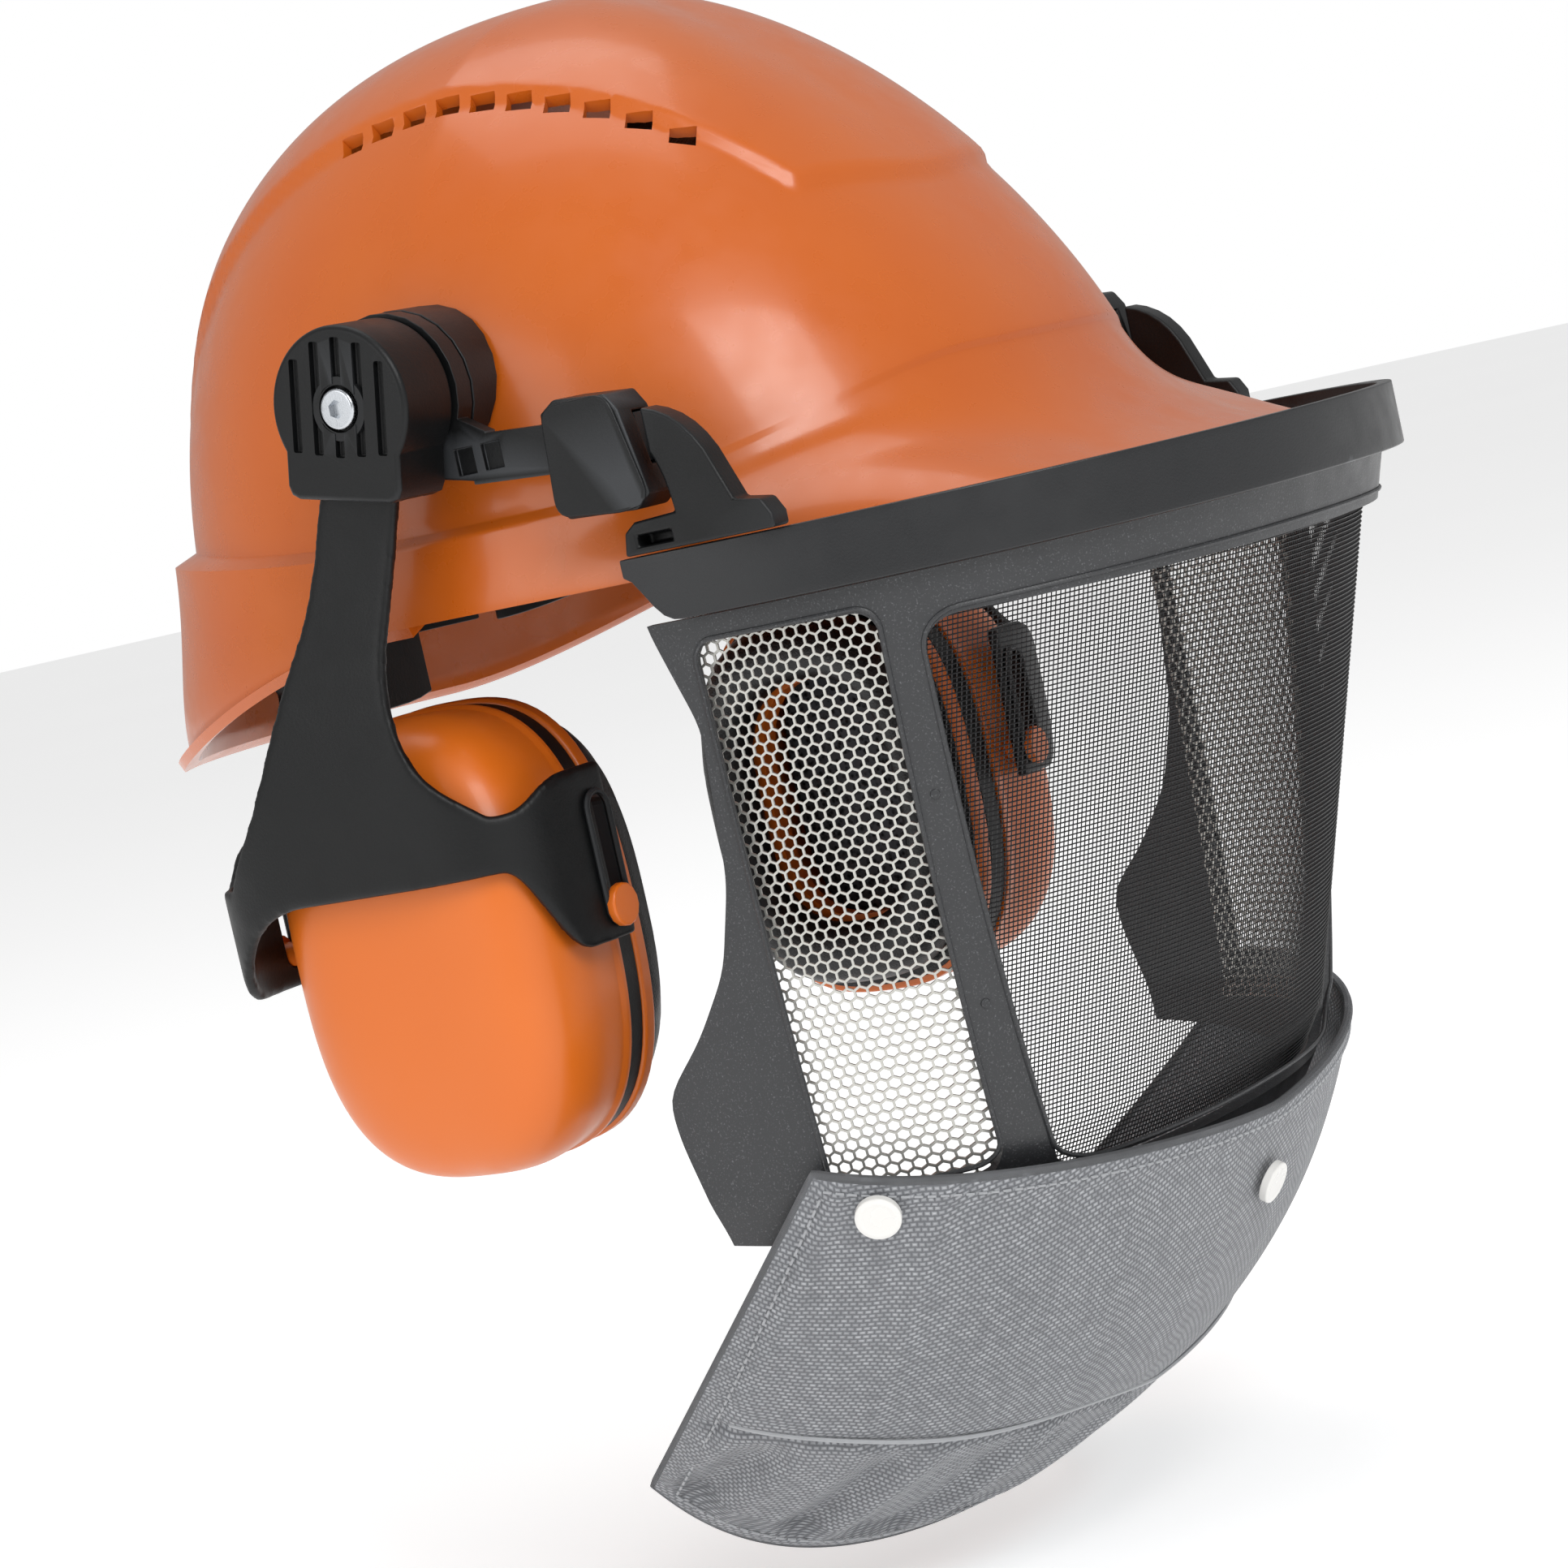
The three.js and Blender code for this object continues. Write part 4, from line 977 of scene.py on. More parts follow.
@dataclass(frozen=True)
class Hub:
    """Where the visor's carrier and the ear muffs turn, on each side of the shell."""

    y: float = -11.5
    z: float = 51.0
    radius: float = 18.4
    face: float = 134.0
    inner: float = 116.0
    chin: float = 30.5
    lean: float = 12.0
    groove_pitch: float = 5.8

    def outline(self) -> list[tuple[float, float]]:
        """Returns the cap's outline: a circle over a square chin."""
        arc = np.linspace(-0.572, math.pi + 0.572, 72)
        round_part = [(self.y + self.radius * math.cos(a), self.z + self.radius * math.sin(a)) for a in arc]
        return [
            *round_part,
            (self.y - 15.5, self.chin + 3),
            (self.y - 14.6, self.chin + 0.9),
            (self.y - 12.5, self.chin),
            (self.y + 12.5, self.chin),
            (self.y + 14.6, self.chin + 0.9),
            (self.y + 15.5, self.chin + 3),
        ]

    def cap(self) -> bpy.types.Object:
        """Makes the left cap: a bevelled block with upright grooves, a hinge slot and a screw seat."""
        cap = slab("hub_cover", self.outline(), self.inner, self.face)
        soften(cap, 1.4, 4, 50)
        grooves = []
        for step in (-2, -1, 0, 1, 2):
            y = self.y + step * self.groove_pitch
            top = self.z + math.sqrt((self.radius - 2.6) ** 2 - (y - self.y) ** 2)
            foot = 40.2 + abs(step) * 0.4
            groove = block("groove", (self.face - 1.6, y - 1.25, foot), (self.face + 2, y + 1.25, top))
            soften(groove, 0.5, 2)
            grooves.append(groove)
        cut_with(cap, grooves)
        seat = rod("seat", (self.face - 2.4, self.y, self.z), (self.face + 2, self.y, self.z), 5.6, 40)
        hinge = block("hinge", (121, self.y - 13, 20), (129, self.y + 13, 37.1))
        cut_with(cap, [seat, hinge])
        ring = rod("boss", (self.face - 3, self.y, self.z), (self.face - 0.2, self.y, self.z), 7.2, 40)
        hole = rod("hole", (self.face - 4, self.y, self.z), (self.face + 1, self.y, self.z), 5.2, 40)
        cut_with(ring, [hole])
        soften(ring, 0.3, 2)
        return leaned(join("hub_cover", [cap, ring]))

    def screw(self) -> bpy.types.Object:
        """Makes the left screw: a domed head with a hexagon socket."""
        head = rod("hub_bolt", (self.face - 1.5, self.y, self.z), (self.face + 0.6, self.y, self.z), 4.6, 40)
        soften(head, 0.7, 3, 50)
        socket = rod("socket", (self.face - 1.0, self.y, self.z), (self.face + 2, self.y, self.z), 2.2, 6)
        cut_with(head, [socket])
        shaft = rod("shaft", (104.5, self.y, self.z), (self.face - 1.6, self.y, self.z), 2.6, 24)
        return join("hub_bolt", [head, shaft])

    def slider_face(self) -> bpy.types.Object:
        """Makes the left slider's thumb plate: a flat face with well-rounded corners."""
        corners = [(-55.4, 41.6), (-73.2, 41.6), (-78.6, 17.4), (-72.4, 15.4), (-53.7, 17.2)]
        plate = slab("slider_face", rounded_outline(corners, 4.2), 119.4, 122.1)
        soften(plate, 0.6, 3, 50)
        return plate

    def build(self) -> None:
        """Builds the hubs and the visor's carriers and sliders on both sides."""
        cap, screw, plate = self.cap(), self.screw(), self.slider_face()
        left = (Side.LEFT, cap, screw)
        right = (Side.RIGHT, mirrored(cap, "hub_cover"), mirrored(screw, "hub_bolt"))
        for side, made_cap, made_screw in (left, right):
            thumb = plate if side is Side.LEFT else mirrored(plate, side.named("slider_face"))
            thumb.name = thumb.data.name = side.named("slider_face")
            dress(thumb, BLACK_NYLON, "visor", "black_plastic")
            made_cap.name = made_cap.data.name = side.named("hub_cover")
            made_screw.name = made_screw.data.name = side.named("hub_bolt")
            dress(made_cap, BLACK_NYLON, side.named("hub_cap"), "black_plastic", side.named("hub_cap"))
            dress(made_screw, ZINC_STEEL, "root", "screw_steel", side.named("hub_screw"))
            plain = [
                ("hub_socket", "hub_seat", "root", 0.6, BLACK_NYLON, "black_plastic"),
                ("visor_carrier", "carrier_strip", "carrier", 0.5, BLACK_NYLON, "black_plastic"),
                ("slider_plate", "slider_cover", "visor", 1.3, BLACK_NYLON, "black_plastic"),
                ("visor_arm", "visor_bracket", "visor", 1.1, BLACK_NYLON, "black_plastic"),
                ("fold_spring", "fold_leaf", side.named("hub_cap"), 0.15, ZINC_STEEL, "screw_steel"),
            ]
            for node, name, body, width, finish, slot in plain:
                piece = refined(side.named(node), side.named(name), width, 3)
                dress(piece, finish, body, slot, side.named(node))


# ---- Visor ----


@dataclass(frozen=True)
class Visor:
    """The brow bar, the curved frame with its windows, and the meshes behind them."""

    top_z: float = -9.9
    side_z: float = -150
    front_z: float = -163
    top_half: float = 113.5
    low_half: float = 110.5
    top_front: float = -178
    low_front: float = -131.5
    top_rear: float = -66
    low_rear: float = -40
    power: float = 2.25
    wall: float = 2.5
    hex_pitch: float = 2.75
    hex_web: float = 0.5
    wire_pitch: float = 1.05
    wire_radius: float = 0.16

    def down(self, z: np.ndarray) -> np.ndarray:
        """Returns how far down the frame a height is, from 0 to 1 at the side's foot."""
        return (self.top_z - z) / (self.top_z - self.side_z)

    def point(self, turn: np.ndarray, z: np.ndarray, inset: object) -> np.ndarray:
        """Returns a point of the frame's face, with turn 0 in front and inset inwards."""
        down = self.down(z)
        tuck = 0.35 * np.maximum(-140 - z, 0)
        half = lerp(self.top_half, self.low_half, down) - 0.6 * tuck - inset
        front = lerp(self.top_front, self.low_front, down) + tuck + inset
        x, y = u_curve(turn, half, front, lerp(self.top_rear, self.low_rear, down), self.power)
        return stacked(x, y, z)

    def turn_at(self, y: np.ndarray, z: np.ndarray) -> np.ndarray:
        """Returns the turn at which the face reaches a Y, at a height."""
        down = self.down(z)
        front = lerp(self.top_front, self.low_front, down)
        return turn_at_y(y, front, lerp(self.top_rear, self.low_rear, down), self.power)

    def rear_y(self, z: np.ndarray) -> np.ndarray:
        """Returns the Y of the frame's rear edge, from the brow bar down."""
        heights = [-150, -124, -114, -103, -88, -68, -34, -9.9]
        edges = [-48, -41.5, -41, -52.3, -63, -69.4, -72.3, -64.5]
        knots = np.interp(np.linspace(-150, -9.9, 57), heights, edges)
        padded = np.pad(knots, 2, mode="edge")
        rounded = np.convolve(padded, np.array([1, 3, 4, 3, 1]) / 12, mode="valid")
        return np.interp(z, np.linspace(-150, -9.9, 57), rounded)

    def corner_rows(self, high: float, low: float, corner: float) -> tuple[np.ndarray, np.ndarray]:
        """Returns heights down a window with round corners, and how far its edges step in at each."""
        arc = corner * (1 - np.cos(np.linspace(0, math.pi / 2, 7)))
        between = np.linspace(high - corner, low + corner, 12)[1:-1]
        heights = np.concatenate([high - arc, between, (low + arc)[::-1]])
        return heights, self.corner_inset(heights, high, low, corner)

    def corner_inset(self, z: np.ndarray, high: float, low: float, corner: float) -> np.ndarray:
        """Returns how far a window's edge steps in near its corners."""
        near = np.minimum(np.minimum(high - z, z - low), corner)
        return corner - np.sqrt(np.maximum(corner**2 - (corner - near) ** 2, 0))

    def window(
        self, name: str, high: float, low: float, edges: Callable, corner: float, columns: int
    ) -> bpy.types.Object:
        """Adds a tool for a window with round corners.

        Args:
            name: The tool's name.
            high: The window's top.
            low: The window's foot.
            edges: Gives the turns of the two upright edges for a height and an inset.
            corner: The radius of the corners.
            columns: How many cells the tool has across.

        Returns:
            The closed tool, thicker than the frame's wall.
        """
        heights, _ = self.corner_rows(high, low, corner)
        steps = np.linspace(0, 1, len(heights))

        def place(u: np.ndarray, v: np.ndarray) -> np.ndarray:
            z = np.interp(v, steps, heights)
            start, end = edges(z, self.corner_inset(z, high, low, corner))
            return self.point(lerp(start, end, u), z, 8.0)

        tool = laid_sheet(name, columns, len(heights) - 1, place, (0, 40, -80))
        thicken(tool, 16, outward=True)
        return tool

    def rim(self, high: float, low: float, edges: Callable, corner: float) -> np.ndarray:
        """Returns the closed path of the thin raised line round a window."""
        z, inset = self.corner_rows(high, low, corner)
        start, end = edges(z, inset)
        span = np.linspace(0, 1, 40)[1:-1]
        turns = [start, lerp(start[-1], end[-1], span), end[::-1], lerp(end[0], start[0], span)]
        levels = [z, np.full(38, low), z[::-1], np.full(38, high)]
        return self.point(np.concatenate(turns), np.concatenate(levels), -0.1)

    def rims(self) -> bpy.types.Object:
        """Makes the raised lines round the three windows."""
        side = self.rim(-15, -142, self.side_edges, 5)
        paths = [side, side * np.array([-1, 1, 1]), self.rim(-19, -148, self.front_edges, 8)]
        made = tubes("window_rims", paths, 0.6, 8, closed=True)
        return dress(made, GRAINED_PP, "visor", "grained_plastic")

    def side_edges(self, z: np.ndarray, inset: np.ndarray) -> tuple[np.ndarray, np.ndarray]:
        """Returns the turns of the side window's edges."""
        ahead = lerp(-117, -107, (-15 - z) / 127)
        return self.turn_at(-75 - inset, z), self.turn_at(ahead + inset, z)

    def front_edges(self, z: np.ndarray, inset: np.ndarray) -> tuple[np.ndarray, np.ndarray]:
        """Returns the turns of the front window's edges."""
        turn = self.turn_at(lerp(-124, -114, (-19 - z) / 129) - inset, z)
        return -turn, turn

    def frame(self) -> bpy.types.Object:
        """Makes the frame: a curved wall with three windows."""

        def place(u: np.ndarray, v: np.ndarray) -> np.ndarray:
            across = 2 * u - 1
            low = lerp(self.front_z, self.side_z, np.abs(across) ** 1.5)
            z = lerp(low, self.top_z, v)
            return self.point(across * self.turn_at(self.rear_y(z), z), z, 0.0)

        body = laid_sheet("visor_shield_frame", 150, 64, place, (0, 40, -80))
        thicken(body, self.wall)
        side = self.window("w", -15, -142, self.side_edges, 5, 10)
        tools = [side, mirrored(side, "m"), self.window("f", -19, -148, self.front_edges, 8, 60)]
        cut_with(body, tools)
        return dress(body, GRAINED_PP, "visor", "grained_plastic", "visor_frame")

    def bar(self) -> bpy.types.Object:
        """Makes the brow bar: a flat rail round the front, its lower rear corners well rounded."""

        def place(u: np.ndarray, v: np.ndarray) -> np.ndarray:
            theta = lerp(-math.pi / 2, math.pi / 2, u)
            x, y = superellipse(theta, 118, 119.8, 2.2)
            behind = smoothstep(-64.5 - y, -64.5 - 14, -64.5) ** 2
            low = lerp(-9.5, 1.5, np.clip(behind, 0, 1))
            return stacked(x, -64.5 - y, lerp(low, 5.5, v))

        bar = laid_sheet("brow_rail", 180, 8, place, (0, -40, 0))
        thicken(bar, 3.4)
        soften(bar, 0.9, 3, 50)
        return dress(bar, SATIN_PP, "visor", "grained_plastic", "brow_bar")

    def hex_panel(self) -> bpy.types.Object:
        """Makes the left side's sheet: hexagonal holes, one ring of webs repeated, trimmed and curved."""
        radius = self.hex_pitch / math.sqrt(3)
        row = 1.5 * radius
        cells = []
        for shift, level in ((0.0, 0.0), (self.hex_pitch / 2, row)):
            bpy.ops.object.select_all(action="DESELECT")
            bpy.ops.mesh.primitive_circle_add(
                vertices=6, radius=radius, fill_type="NGON", location=(shift, level, 0)
            )
            bpy.ops.object.transform_apply(location=True, rotation=True, scale=True)
            cells.append(bpy.context.object)
        unit_cell = join("hex_sheet", cells)
        with editing(unit_cell):
            bpy.ops.mesh.inset(thickness=self.hex_web / 2, use_individual=True)
            bpy.ops.mesh.delete(type="FACE")
        columns, rows = 20, 31
        offset = {"use_relative_offset": False, "use_constant_offset": True}
        modify(unit_cell, "ARRAY", count=columns, constant_offset_displace=(self.hex_pitch, 0, 0), **offset)
        modify(unit_cell, "ARRAY", count=rows, constant_offset_displace=(0, 2 * row, 0), **offset)
        with editing(unit_cell):
            bpy.ops.mesh.remove_doubles(threshold=0.02)
        flat = points_of(unit_cell)
        y = -72.5 - flat[:, 0]
        z = -12.5 - flat[:, 1]
        ahead = lerp(-117, -107, (-15 - z) / 127) - 3
        keep_y, keep_z = np.clip(y, ahead, -72.5), np.clip(z, -145, -12.5)
        outside = (np.abs(y - keep_y) > 1.6) | (np.abs(z - keep_z) > 1.6)
        move_points(unit_cell, self.point(self.turn_at(keep_y, keep_z), keep_z, self.wall + 0.9) * MM)
        with editing(unit_cell):
            bpy.ops.mesh.select_mode(type="VERT")
            bpy.ops.mesh.select_all(action="DESELECT")
        unit_cell.data.vertices.foreach_set("select", outside)
        select_only(unit_cell)
        bpy.ops.object.mode_set(mode="EDIT")
        bpy.ops.mesh.delete(type="VERT")
        bpy.ops.object.mode_set(mode="OBJECT")
        face_away(unit_cell, (0, 0, -80))
        thicken(unit_cell, 0.6)
        return unit_cell

    def wire_mesh(self) -> bpy.types.Object:
        """Makes the front mesh of separate wires, the level ones outside the upright ones."""
        high, low = -16.0, -150.0
        inset = self.wall + 1.2
        heights = np.arange(low, high, self.wire_pitch)
        levels = []
        for z in heights:
            reach = float(self.turn_at(lerp(-124, -114, (-19 - z) / 129) + 3, z))
            turns = np.linspace(-reach, reach, 56)
            levels.append(self.point(turns, np.full(56, z), inset - self.wire_radius))
        fine = np.linspace(-70, 70, 2000)
        middle = self.point(fine, np.full(2000, -80.0), inset)
        length = np.pad(np.cumsum(np.linalg.norm(np.diff(middle, axis=0), axis=1)), (1, 0))
        count = int(length[-1] / self.wire_pitch)
        uprights = []
        drop = np.linspace(high, low, 12)
        for turn in np.interp(np.linspace(0, length[-1], count), length, fine):
            limit = self.turn_at(lerp(-124, -114, (-19 - drop) / 129) + 3, drop)
            inside = drop[np.abs(turn) <= limit]
            if len(inside) > 2:
                uprights.append(self.point(np.full(len(inside), turn), inside, inset + self.wire_radius))
        return tubes("woven_wire_mesh", levels + uprights, self.wire_radius, 4)

    def bosses(self) -> bpy.types.Object:
        """Makes the small round moulding marks on the pillars between the windows."""
        marks = []
        for z in (-58.0, -106.0):
            y = lerp(-117, -107, (-15 - z) / 127) - 3.6
            turn = float(self.turn_at(np.array(y), np.array(z)))
            seat = self.point(np.array(turn), np.array(z), -0.5)
            out = self.point(np.array(turn), np.array(z), 1.0)
            for sign in (1, -1):
                flip = np.array([sign, 1, 1])
                marks.append(rod("mark", tuple(out * flip), tuple(seat * flip), 1.1, 20))
        made = join("pillar_marks", marks)
        soften(made, 0.25, 2)
        return dress(made, GRAINED_PP, "visor", "grained_plastic")

    def build(self) -> None:
        """Builds all the visor's pieces but the bib."""
        self.bar()
        self.frame()
        self.rims()
        self.bosses()
        left = self.hex_panel()
        for side, panel in ((Side.LEFT, left), (Side.RIGHT, mirrored(left, "h"))):
            panel.name = panel.data.name = side.named("hex_sheet")
            dress(panel, ETCHED_STEEL, "visor", "perforated_steel", side.named("side_mesh"))
        dress(self.wire_mesh(), COATED_WIRE, "visor", "woven_wire", "front_mesh")


# ---- Bib ----


@dataclass(frozen=True)
class Bib:
    """The canvas bib that hangs from the frame's foot, with its binding, stitches and snaps."""

    power: float = 2.1
    wall: float = 1.5
    seam: float = 0.735
    snap_radius: float = 5.2

    def point(self, turn: np.ndarray, part: np.ndarray, inset: object) -> np.ndarray:
        """Returns a point of the hanging cloth: part is 0 at its top and 1 at its foot."""
        middle = ((-133, -154), (-123, -181), (-98, -220), (-45, -239))
        ends = ((113.2, -75, -135), (113, -42, -172), (75, 15, -215))
        front = bezier([np.array(place, float) for place in middle], part)
        side = bezier([np.array(place, float) for place in ends], part)
        drop = 1 - (np.abs(turn) / 90) ** lerp(1.2, 4, part)
        x, y = u_curve(turn, side[..., 0] - inset, front[..., 0] + inset, side[..., 1], self.power)
        return stacked(x, y, lerp(side[..., 2], front[..., 1], drop) + 0.6 * inset * part)

    def seam_at(self, turn: np.ndarray) -> np.ndarray:
        """Returns how far down the cloth its seam runs, a little wavy and higher at the quarters."""
        side = np.abs(turn) / 90
        wave = 0.008 * np.sin(np.radians(turn * 7 + 30))
        return self.seam - 0.02 * (1 - side) - 0.075 * np.sin(math.pi * side) + wave

    def creases(self, turn: np.ndarray, part: np.ndarray) -> np.ndarray:
        """Returns how far the cloth's folds and the seam's tuck sink it, in millimetres."""
        wave = self.seam_at(turn)
        below = smoothstep(part, wave - 0.02, wave + 0.1) * (1 - 0.5 * smoothstep(part, 0.93, 1.0))
        slanted = turn * 0.16 + 5 * part
        folds = 1.7 * np.sin(slanted * 2.1 + 0.6) + 0.9 * np.sin(slanted * 3.7 + 2.0)
        tuck = 1.5 * np.exp(-(((part - wave) / 0.012) ** 2))
        soft = 0.5 * np.sin(np.radians(turn * 5)) * smoothstep(part, 0.25, 0.6)
        return tuck + below * (1.1 + folds) + soft

    def cloth(self) -> bpy.types.Object:
        """Lays the cloth with its folds and its doubled hem."""

        def place(u: np.ndarray, v: np.ndarray) -> np.ndarray:
            turn, part = lerp(-90, 90, u), 1 - v
            hem = np.minimum(np.minimum(part * 90, (1 - np.abs(2 * u - 1)) * 170), (1 - part) * 120)
            raised = 0.5 * (1 - smoothstep(hem, 5.0, 6.2))
            inset = 0.8 + self.creases(turn, part) * smoothstep(hem, 1.0, 8.0) - raised
            return self.point(turn, part, inset)

        cloth = laid_sheet("neck_bib", 210, 90, place, (0, 30, -170))
        thicken(cloth, self.wall)
        soften(cloth, 0.5, 2, 60)
        return dress(cloth, CANVAS, "visor", "canvas", "bib")

    def edge_path(self, inset: float, margin: float) -> np.ndarray:
        """Returns a path round the cloth's four sides, a margin in from its edge."""
        side, top, foot = 90 - margin * 1.15, margin / 90, 1 - margin / 120
        turns = np.linspace(-side, side, 160)
        parts = np.linspace(top, foot, 60)
        runs = [
            (turns, np.full(160, top)),
            (np.full(60, side), parts),
            (turns[::-1], np.full(160, foot)),
            (np.full(60, -side), parts[::-1]),
        ]
        return np.concatenate([self.point(turn, part, inset)[:-1] for turn, part in runs])

    def stitches(self, path: np.ndarray, length: float, pitch: float) -> bpy.types.Object:
        """Lays short threads along a path, one after another."""
        steps = np.linalg.norm(np.diff(path, axis=0), axis=1)
        along = np.pad(np.cumsum(steps), (1, 0))
        starts = np.arange(0, along[-1] - length, pitch)
        runs = []
        for start in starts:
            places = start + np.linspace(0, length, 3)
            runs.append(np.stack([np.interp(places, along, path[:, axis]) for axis in range(3)], axis=-1))
        return tubes("thread", runs, 0.3, 6)

    def snap(self, name: str, turn: float, part: float, node: str) -> None:
        """Makes one snap: a low dome with a rim, square to the cloth."""
        seat = Vector(self.point(np.array(turn), np.array(part), -0.4))
        across = Vector(self.point(np.array(turn + 2.0), np.array(part), -0.4)) - seat
        down = Vector(self.point(np.array(turn), np.array(part + 0.05), -0.4)) - seat
        outward = across.cross(down).normalized()
        if outward.dot(Vector((seat.x, seat.y + 40, 0))) < 0:
            outward.negate()
        disc = rod(name, tuple(seat + outward * 0.3), tuple(seat + outward * 2.3), self.snap_radius, 48)
        with editing(disc):
            bpy.ops.mesh.select_all(action="DESELECT")
        for face in disc.data.polygons:
            face.select = face.normal.dot(outward) > 0.9
        select_only(disc)
        bpy.ops.object.mode_set(mode="EDIT")
        bpy.ops.mesh.inset(thickness=1.1 * MM, depth=0.35 * MM)
        bpy.ops.mesh.inset(thickness=0.9 * MM, depth=-0.25 * MM)
        bpy.ops.object.mode_set(mode="OBJECT")
        soften(disc, 0.3, 3, 25)
        dress(disc, ACETAL, "visor", "snap_white", node)

    def build(self) -> None:
        """Builds the cloth and what is sewn or snapped to it."""
        cloth = self.cloth()
        binding = tubes("bib_binding", [self.edge_path(1.2, 0.0)], 1.15, 8, closed=True)
        dress(binding, BINDING, "visor", "canvas")
        border = self.edge_path(0.1, 3.4)
        wave = np.linspace(-84, 84, 240)
        seam = self.point(wave, self.seam_at(wave) - 0.014, 0.75)
        sewn = [self.stitches(border, 1.9, 2.9), tubes("ridge", [seam], 0.55, 6)]
        thread = join("bib_stitching", sewn)
        dress(thread, THREAD, "visor", "canvas")
        for side in Side:
            self.snap(side.named("bib_popper"), 74 * side.value, 0.08, side.named("bib_snap"))
        self.snap("bib_popper_front", 0, 0.2, "bib_snap_front")


# ---- Ear muffs ----


@dataclass(frozen=True)
class EarMuff:
    """One ear muff, made for the wearer's left: yoke, pins, cup, rings, cushion and foam."""

    y: float = 13
    z: float = -74
    half_length: float = 38.5
    half_height: float = 54
    power: float = 2.8
    lean: float = 0.1
    crown: float = 4.4
    saddle_front: float = -31
    saddle_rear: float = 67
    saddle_outer: float = 134.3
    saddle_end: float = 94
    # Heights up the arm, with the Y of its front edge, the Y of its rear edge, and the X of its face.
    arm_fore: tuple = (
        *((-56, -24), (-44, -23), (-40, -17), (-33, -9), (-25, -6)),
        *((-15, -4.2), (-4, -5), (8, -8.5), (20, -12.5), (33.5, -17)),
    )
    arm_aft: tuple = (
        *((-56, 57), (-50, 54), (-40, 45), (-30, 37), (-15, 29)),
        *((-7, 24.5), (6, 16.5), (20, 10.5), (33.5, 5.6)),
    )
    arm_out: tuple = (
        *((-56, 134.3), (-44, 134.3), (-34, 134.2), (-21, 133.3)),
        *((-6, 131.1), (9, 128.3), (20, 127.1), (33.5, 126.5)),
    )

    def ring(self, name: str, profile: list[tuple[float, float]], segments: int = 96) -> bpy.types.Object:
        """Makes a closed ring whose section is a list of parts of the outline and distances X."""
        section = np.array(profile, float)
        steps = np.linspace(0, 1, len(section) + 1)
        closed = np.vstack([section, section[:1]])

        def place(u: np.ndarray, v: np.ndarray) -> np.ndarray:
            part, x = np.interp(v, steps, closed[:, 0]), np.interp(v, steps, closed[:, 1])
            return self.at(u, part, x)

        made = laid_sheet(name, segments, len(section), place, (80, 13, -74))
        with editing(made):
            bpy.ops.mesh.normals_make_consistent(inside=False)
        return made

    def at(self, u: np.ndarray, part: np.ndarray, x: np.ndarray) -> np.ndarray:
        """Returns a point of the cup by its turn, its part of the outline and its X."""
        y, z = superellipse(2 * math.pi * u, self.half_length * part, self.half_height * part, self.power)
        return stacked(x, self.y + self.lean * (114 - x) + y, self.z + z)

    def cup(self) -> bpy.types.Object:
        """Makes the cup: a full, soft-cornered bowl with a thin step near its rim."""

        def place(u: np.ndarray, v: np.ndarray) -> np.ndarray:
            bend = v * math.pi / 2
            spread = (np.cos(bend) ** self.crown + np.sin(bend) ** self.crown) ** (-1 / self.crown)
            part, x = np.sin(bend) * spread, 91.5 + 36.5 * np.cos(bend) * spread
            part = part * (1 - 0.012 * smoothstep(x, 93.6, 94.2) * (1 - smoothstep(x, 94.2, 108)))
            return self.at(u, part, x)

        cup = laid_sheet("ear_cup", 128, 60, place, (92, 13, -74))
        thicken(cup, 2.6)
        soften(cup, 0.5, 2, 55)
        return cup

    def rounded(
        self, inner: float, outer: float, x_from: float, x_to: float, corner: float
    ) -> list[tuple[float, float]]:
        """Returns a ring's section with round outer corners."""
        size = self.half_length
        bends = np.linspace(0, math.pi / 2, 5)
        step = corner / size
        low = [(outer - step * (1 - math.sin(b)), x_from + corner * (1 - math.cos(b))) for b in bends]
        high = [(outer - step * (1 - math.cos(b)), x_to - corner * (1 - math.sin(b))) for b in bends]
        return [(inner, x_from), *low, *high, (inner, x_to)]

    def cushion(self) -> bpy.types.Object:
        """Swells the ear cushion's ring by cloth simulation."""
        inside = [(0.62, 78), (0.6, 71), (0.66, 65.5), (0.76, 64)]
        outside = [(0.86, 65.5), (0.92, 71), (0.93, 78), (0.78, 78.2)]
        section = inside + outside
        pad = self.ring("ear_pad", section, 72)
        modify(pad, "REMESH", mode="VOXEL", voxel_size=3.2 * MM)
        start = points_of(pad)
        scene = bpy.context.scene
        select_only(pad)
        cloth = pad.modifiers.new("Cloth", "CLOTH")
        cloth.settings.use_pressure = True
        cloth.settings.uniform_pressure_force = 14.0
        cloth.settings.effector_weights.gravity = 0.0
        for number in range(1, 21):
            scene.frame_set(number)
        bpy.ops.object.modifier_apply(modifier=cloth.name)
        scene.frame_set(1)
        moved = points_of(pad) - start
        length = np.linalg.norm(moved, axis=1, keepdims=True)
        LOG.info("ear_pad: the cloth swelled by up to %.2f mm", length.max() / MM)
        points = start + moved * np.minimum(1, 2.0 * MM / np.maximum(length, 1e-9))
        points[:, 0] = np.clip(points[:, 0], 61.6 * MM, 78.9 * MM)
        move_points(pad, points)
        modify(pad, "SUBSURF", levels=1, render_levels=1)
        return pad

